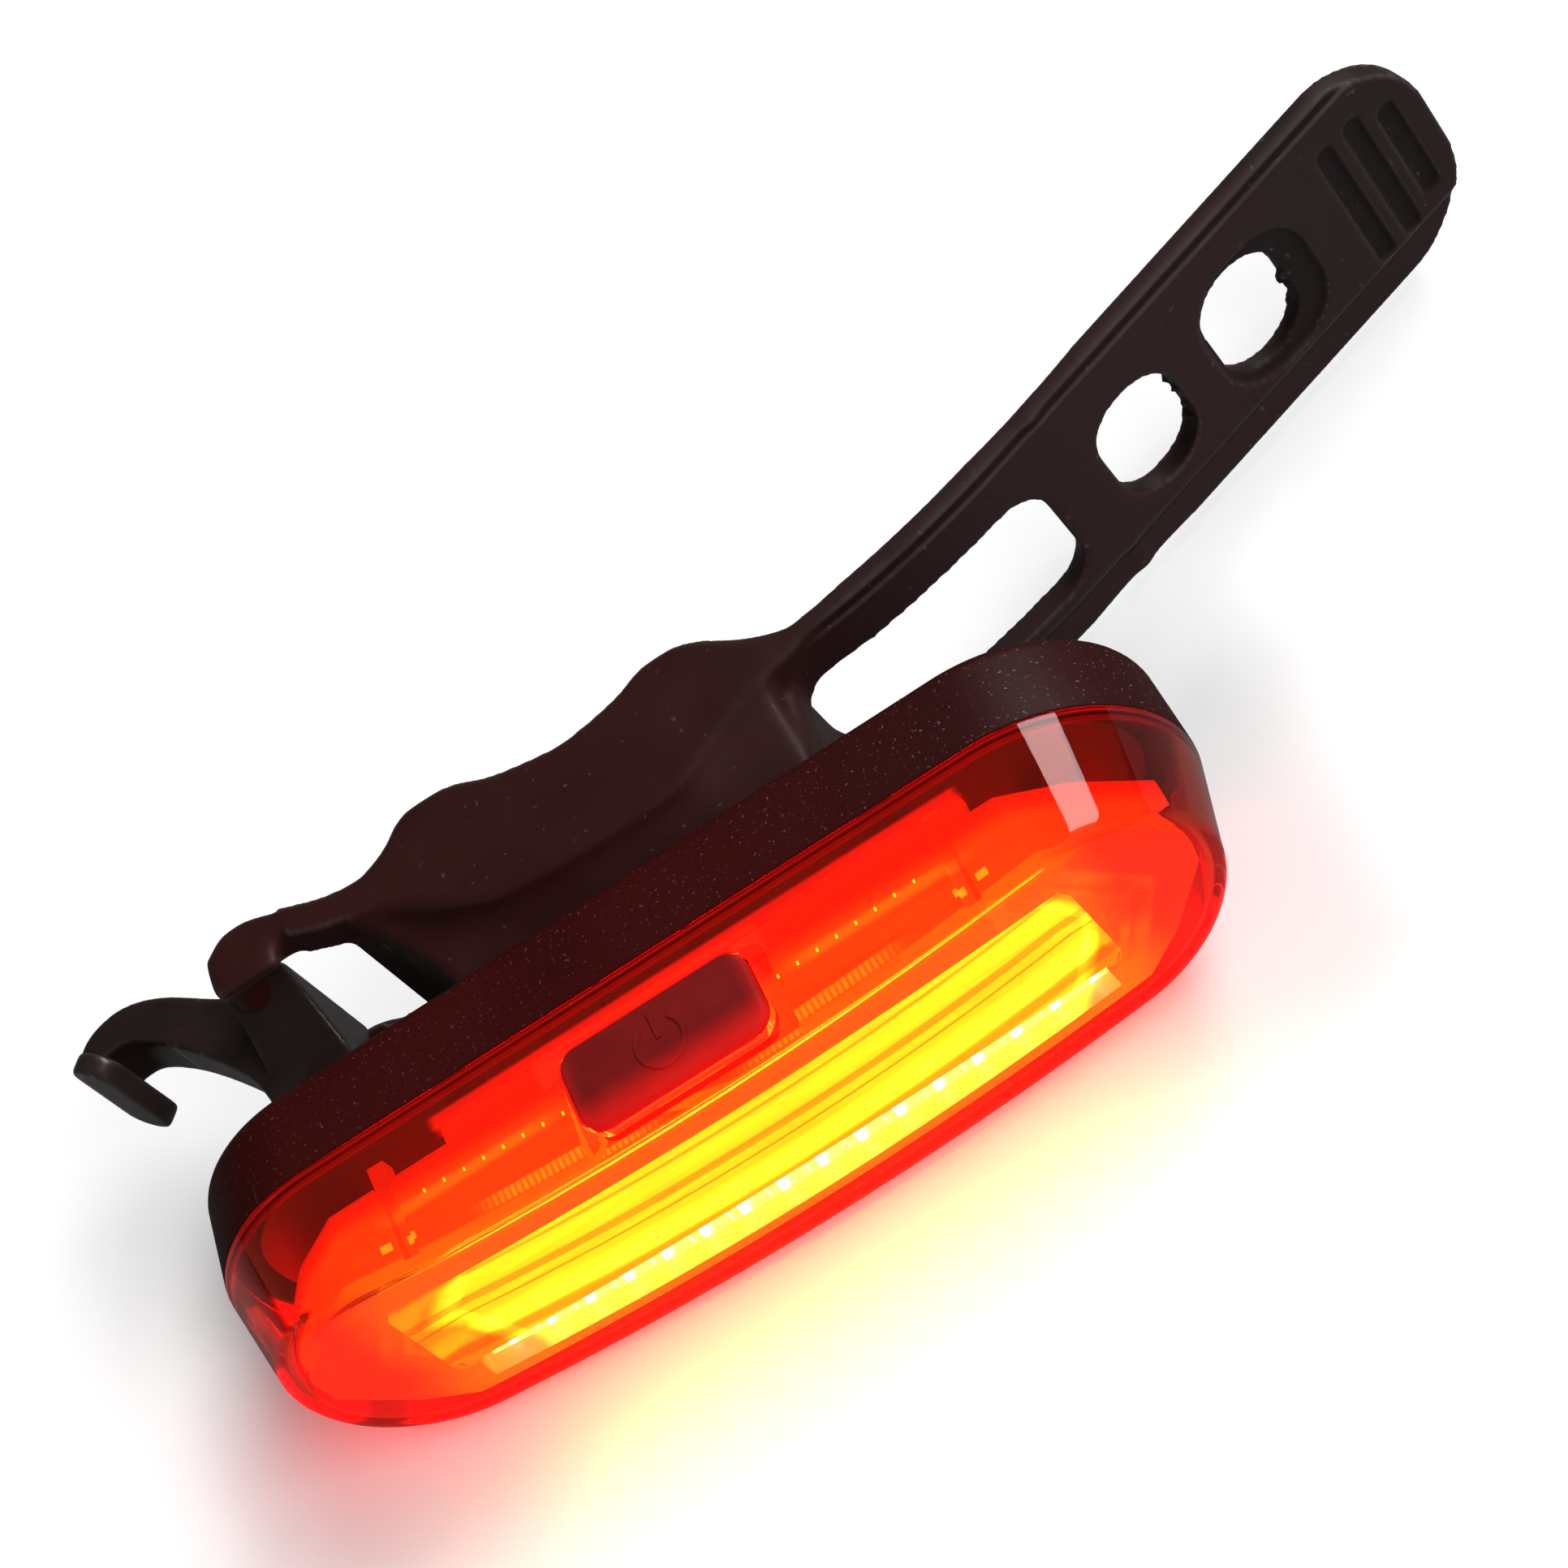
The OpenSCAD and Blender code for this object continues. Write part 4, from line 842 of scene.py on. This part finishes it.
# Ragged moulding flash on the tip side of the holes
def roughHoles(bm):
    k = holes
    turn = radians(rubberLook["tailTurn"])
    ahead = Vector((cos(turn), sin(turn), 0))
    across = Vector((-sin(turn), cos(turn), 0))
    start = Vector((*rubberLook["tailStart"], 0))
    for v in bm.verts:
        away = v.co - start
        through = away.dot(across)
        for hole in k["places"]:
            along = away.dot(ahead) - hole
            inHole = k["along"][0] < along < k["along"][1] and abs(v.co.z) < k["half"]
            inWall = k["through"][0] < through < k["through"][1] and v.normal.dot(ahead) < -0.35
            if inHole and inWall:
                rough = turbulence(v.co * k["grain"], 2, False) * 2 - 0.45
                v.co -= ahead * k["flash"] * max(0.0, rough)


def makeStrap():
    s = strap
    bm = copyOf("strap_saddle", "strap_tail_root", "strap_tail_end")
    body = s["thick"] - s["face"]
    turn = Matrix.Rotation(radians(s["rootTurn"]), 4, "Z")
    flat = Matrix.Identity(4)
    for side in (-1, 1):
        margin = s["highMargin"] if side > 0 else s["lowMargin"]
        middle = side * (s["half"] + s["slotHalf"]) / 2
        wide = s["half"] - s["slotHalf"] - s["gap"]
        spot = Vector((*s["rootHinge"], middle)) + turn @ Vector((0, s["face"] / 2, 0))
        addBlock(bm, spot, (s["rootBridge"], body, wide), turn)
        inner = s["half"] - margin - s["slotHalf"] - s["gap"]
        spot = Vector((*s["rootHinge"], side * (s["slotHalf"] + s["gap"] + inner / 2)))
        addBlock(bm, spot, (s["rootBridge"], s["thick"], inner), turn)
        addBlock(bm, Vector((*s["neckAt"], middle)), (*s["neck"], wide), flat, s["neckTaper"])
        start = s["slotStart"]
        addBlock(bm, Vector((start[0], start[1], side * start[2])), s["slotFill"], flat, s["slotTaper"])
        addLug(bm, side)
        addFlank(bm, side)
    turn = Matrix.Rotation(radians(s["endTurn"]), 4, "Z")
    spot = Vector((*s["endHinge"], 0)) + turn @ Vector((0, s["face"] / 2, 0))
    addBlock(bm, spot, (s["endBridge"], body, 2 * s["half"]), turn)
    wide = 2 * s["half"] - s["lowMargin"] - s["highMargin"]
    spot = Vector((*s["endHinge"], (s["lowMargin"] - s["highMargin"]) / 2))
    addBlock(bm, spot, (s["endBridge"], s["thick"], wide), turn)
    zones = [(isFlank, flank["rounds"]), (isLug, lug["rounds"])]
    zones += [(hingeZone(reach), s["hingeRounds"]) for reach in s["hingeZones"]]
    whole = moulded(bm, s["voxel"], s["rounds"], zones)
    whole.normal_update()
    roughHoles(whole)
    partTurn = radians(s["partTurn"])
    cut = {"plane_co": (s["partAt"], 0, 0), "plane_no": (cos(partTurn), sin(partTurn), 0)}
    parts = []
    for name, far in (("strap_saddle_skin", True), ("strap_tail_skin", False)):
        part = whole.copy()
        bmesh.ops.bisect_plane(part, geom=part.verts[:] + part.edges[:] + part.faces[:], dist=1e-7,
                               clear_outer=far, clear_inner=not far, **cut)
        rim = [e for e in part.edges if e.is_boundary]
        bmesh.ops.holes_fill(part, edges=rim, sides=0)
        parts.append(addPiece(name, part, rubber, 50))
    whole.free()
    saddle, tail = parts
    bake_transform(saddle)
    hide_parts("strap_saddle", "strap_tail_root")
    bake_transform(tail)
    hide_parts("strap_tail_end")


makeStrap()
print("strap made")


# Hook: the CAD form with its edges rounded, its plate trimmed to a straight edge beside the prong
hook = {"trimAt": (-23.0 * mm, -5.37 * mm, 0), "trimWay": (0.966, 0.258, 0), "voxel": 0.14 * mm,
        "rounds": 22,
        "flareEnds": ((-29.0 * mm, -23.0 * mm), (-28.9 * mm, -24.1 * mm)),
        "flareHeights": (-5.4 * mm, 0.9 * mm), "flareSides": (2.4 * mm, 5.9 * mm)}


# The plate widens towards the strap's loop
def addFlare(bm, side):
    made = bmesh.ops.create_cube(bm, size=2.0)["verts"]
    for v in made:
        row = 0 if v.co.y < 0 else 1
        end = hook["flareEnds"][row][0 if v.co.x < 0 else 1]
        depth = hook["flareSides"][row] if v.co.z > 0 else 0.0
        v.co = Vector((end, hook["flareHeights"][row], side * depth))
    bmesh.ops.recalc_face_normals(bm, faces=list({f for v in made for f in v.link_faces}))


def makeHook():
    bm = copyOf("strap_hook")
    bmesh.ops.bisect_plane(bm, geom=bm.verts[:] + bm.edges[:] + bm.faces[:], dist=1e-7,
                           plane_co=hook["trimAt"], plane_no=hook["trimWay"], clear_outer=True)
    bmesh.ops.holes_fill(bm, edges=[e for e in bm.edges if e.is_boundary], sides=0)
    for side in (-1, 1):
        addFlare(bm, side)
    bm = moulded(bm, hook["voxel"], hook["rounds"])
    piece = addPiece("hook_arm", bm, hookFinish(), 60)
    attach(piece, "light_body")
    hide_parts("strap_hook")


makeHook()
print("hook made")


# Reflector: the CAD form, its trough and channel with a brighter painted glow than its outside
trough = {"high": 8 * mm, "half": 28 * mm, "front": -28.8 * mm, "back": -24 * mm}


def makeReflector():
    bm = copyOf("reflector")
    bm.normal_update()
    for face in bm.faces:
        spot = face.calc_center_median()
        depth = spot.y - spot.x * spot.x / (2 * bodyPlan["crown"])
        inside = abs(spot.z) < trough["high"] and abs(spot.x) < trough["half"]
        inside = inside and trough["front"] < depth and spot.y < trough["back"]
        toTrough = spot.z * face.normal.z < 0 or face.normal.y < -0.5 or spot.x * face.normal.x < 0
        face.material_index = 1 if inside and toTrough else 0
    piece = addPiece("reflector_skin", bm, frameFinish(), 20)
    piece.data.materials.append(troughFinish())
    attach(piece, "light_body")
    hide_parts("reflector")


makeReflector()
print("reflector made")


# Finishes of the CAD nodes that stay
kept = {"rim_seal": "sealRubber", "switch_plunger": "nylonPlunger", "tact_switch": "litEpoxy",
        "switch_board": "litMask", "switch_pins": "brassPin", "main_pcb": "greenMask",
        "board_screws": "zincPlate",
        "control_chip": "chipEpoxy", "charge_chip": "chipEpoxy", "small_components": "ceramicTan",
        "usb_socket": "tinPlate", "battery": "cellFoil", "battery_pad": "foamTape",
        "battery_leads": "redVinyl"}


def paint(name, finish):
    mesh = nodes[name].data
    mesh.materials.clear()
    mesh.materials.append(finish)


made = {look: innerFinish(look) for look in innerLooks}
for name, look in kept.items():
    paint(name, made[look])
paint("led_strip", stripFinish())
paint("led_chips", ledFinish())
paint("usb_cover", rubber)
print("kept nodes painted")


# Floor: white to the eye, dimmed in reflections, still darkened by shadow and warmed by the light, with
# painted shade round the lamp's foot
floorLook = {"level": -11.56 * mm, "size": 3.0, "white": (0.97, 0.97, 0.97, 1), "lift": 0.32,
             "pale": (0.98, 0.98, 0.98, 1), "farLift": 0.63, "farFade": (0.12, 0.7), "mirrored": 0.18,
             "lampHalf": 36.9 * mm, "lampFront": -31 * mm, "lampBack": -12 * mm,
             "nearFade": (1 * mm, 14 * mm)}


def makeFloor():
    material, f = newFinish("studioFloor")
    camera = f.node("ShaderNodeLightPath", out="Is Camera Ray")
    glossy = f.node("ShaderNodeLightPath", out="Is Glossy Ray")
    k = floorLook
    mottle = noise(f, 4, 2)
    white = blendColour(f, mottle, k["white"], k["pale"])
    dim = k["mirrored"]
    x, y = axes(f)[:2]
    away = f.math("SQRT", x * x + y * y).step(*k["farFade"])
    # Painted shade: the camera-seen lift fades out near the lamp's foot, so the floor is darker round the
    # lamp
    aside = f.math("MAXIMUM", abs(x) - k["lampHalf"], 0.0)
    ahead = f.math("MAXIMUM", f.math("MAXIMUM", k["lampFront"] - y, y - k["lampBack"]), 0.0)
    clear = f.math("SQRT", aside * aside + ahead * ahead).step(*k["nearFade"])
    lift = camera * (k["lift"] * clear + k["farLift"] * away)
    surface(material, f, {
        "Base Color": blendColour(f, glossy, white, (dim, dim, dim, 1)),
        "Roughness": 0.9,
        "Specular IOR Level": 0.0,
        "Emission Color": blendColour(f, lift, (0, 0, 0, 1), (1, 1, 1, 1)),
        "Emission Strength": 1.0})
    bm = bmesh.new()
    bmesh.ops.create_grid(bm, x_segments=2, y_segments=2, size=k["size"] / 2,
                          matrix=Matrix.Translation((0, 0, k["level"])))
    addPiece("studio_floor", bm, material)


makeFloor()


# Studio light: a soft world, one softbox over the right end, a broad fill, and the lamp's own yellow spill
studio = {"world": 0.2, "mirrored": 0.035, "aim": (26 * mm, -24 * mm, 9 * mm), "far": 1.2,
          "key": 10.5, "keySize": (0.46, 1.12), "keyFrom": (0.63, 0.35, 0.69),
          "fill": 8.0, "fillSize": (0.9, 0.9), "fillFrom": (0.6, -0.52, 0.6),
          "spill": 0.0026, "spillSize": (46 * mm, 5 * mm), "spillAt": (0, -33.4 * mm, -2 * mm),
          "spillFrom": (0, 0.82, 0.57), "spillColour": (1.0, 0.9, 0.06), "white": (1, 1, 1)}
upward = Vector((0, 0, 1))
backward = Vector((0, 1, 0))


# An area lamp that shines against the way it stands off, its second side along a given way
def addLamp(name, energy, size, place, away, along, colour):
    lamp = bpy.data.lights.new(name, "AREA")
    lamp.shape = "RECTANGLE"
    lamp.size, lamp.size_y = size
    lamp.energy = energy
    lamp.color = colour
    side = (along - away * away.dot(along)).normalized()
    box = bpy.data.objects.new(name, lamp)
    turn = Matrix((side.cross(away), side, away)).transposed().to_4x4()
    box.matrix_world = Matrix.Translation(place) @ turn
    bpy.context.scene.collection.objects.link(box)
    return box


def makeLights():
    s = studio
    world = bpy.data.worlds.new("studio")
    bpy.context.scene.world = world
    world.use_nodes = True
    world.node_tree.nodes.clear()
    f = Field(world.node_tree)
    camera = f.node("ShaderNodeLightPath", out="Is Camera Ray")
    through = f.node("ShaderNodeLightPath", out="Is Transmission Ray")
    glossy = f.node("ShaderNodeLightPath", out="Is Glossy Ray")
    seen = camera.math("MAXIMUM", camera, through)
    level = s["world"] + seen * (1 - s["world"]) + glossy * (s["mirrored"] - s["world"])
    shader = f.node("ShaderNodeBackground", {}, {"Color": (1, 1, 1, 1), "Strength": level})
    f.node("ShaderNodeOutputWorld", {}, {"Surface": shader})
    aim = Vector(s["aim"])
    away = Vector(s["keyFrom"]).normalized()
    addLamp("softbox", s["key"], s["keySize"], aim + away * s["far"], away, backward, s["white"])
    away = Vector(s["fillFrom"]).normalized()
    fill = addLamp("fill", s["fill"], s["fillSize"], aim + away * s["far"], away, upward, s["white"])
    fill.visible_glossy = False
    away = Vector(s["spillFrom"]).normalized()
    place = Vector(s["spillAt"])
    spill = addLamp("spill", s["spill"], s["spillSize"], place, away, upward, s["spillColour"])
    spill.visible_camera = False
    spill.visible_glossy = False


makeLights()


# Camera fitted to the photograph, its place in millimetres
view = {"place": (67.22800226, -196.59957574, 243.18918589),
        "right": (0.82878616, -0.33178431, -0.45059148),
        "up": (0.53081545, 0.72095953, 0.44547987),
        "ahead": (-0.17705499, 0.60838846, -0.77363752),
        "lens": 108.0, "sensor": 36.0, "clip": 0.01}


def makeCamera():
    data = bpy.data.cameras.new("camera")
    data.sensor_width = view["sensor"]
    data.lens = view["lens"]
    data.clip_start = view["clip"]
    camera = bpy.data.objects.new("camera", data)
    right, up, ahead = Vector(view["right"]), Vector(view["up"]), Vector(view["ahead"])
    turn = Matrix((right, up, -ahead)).transposed().to_4x4()
    camera.matrix_world = Matrix.Translation(Vector(view["place"]) * mm) @ turn
    bpy.context.scene.collection.objects.link(camera)
    bpy.context.scene.camera = camera


makeCamera()
bpy.context.scene.view_settings.view_transform = "Standard"
print("stage, light and camera set")
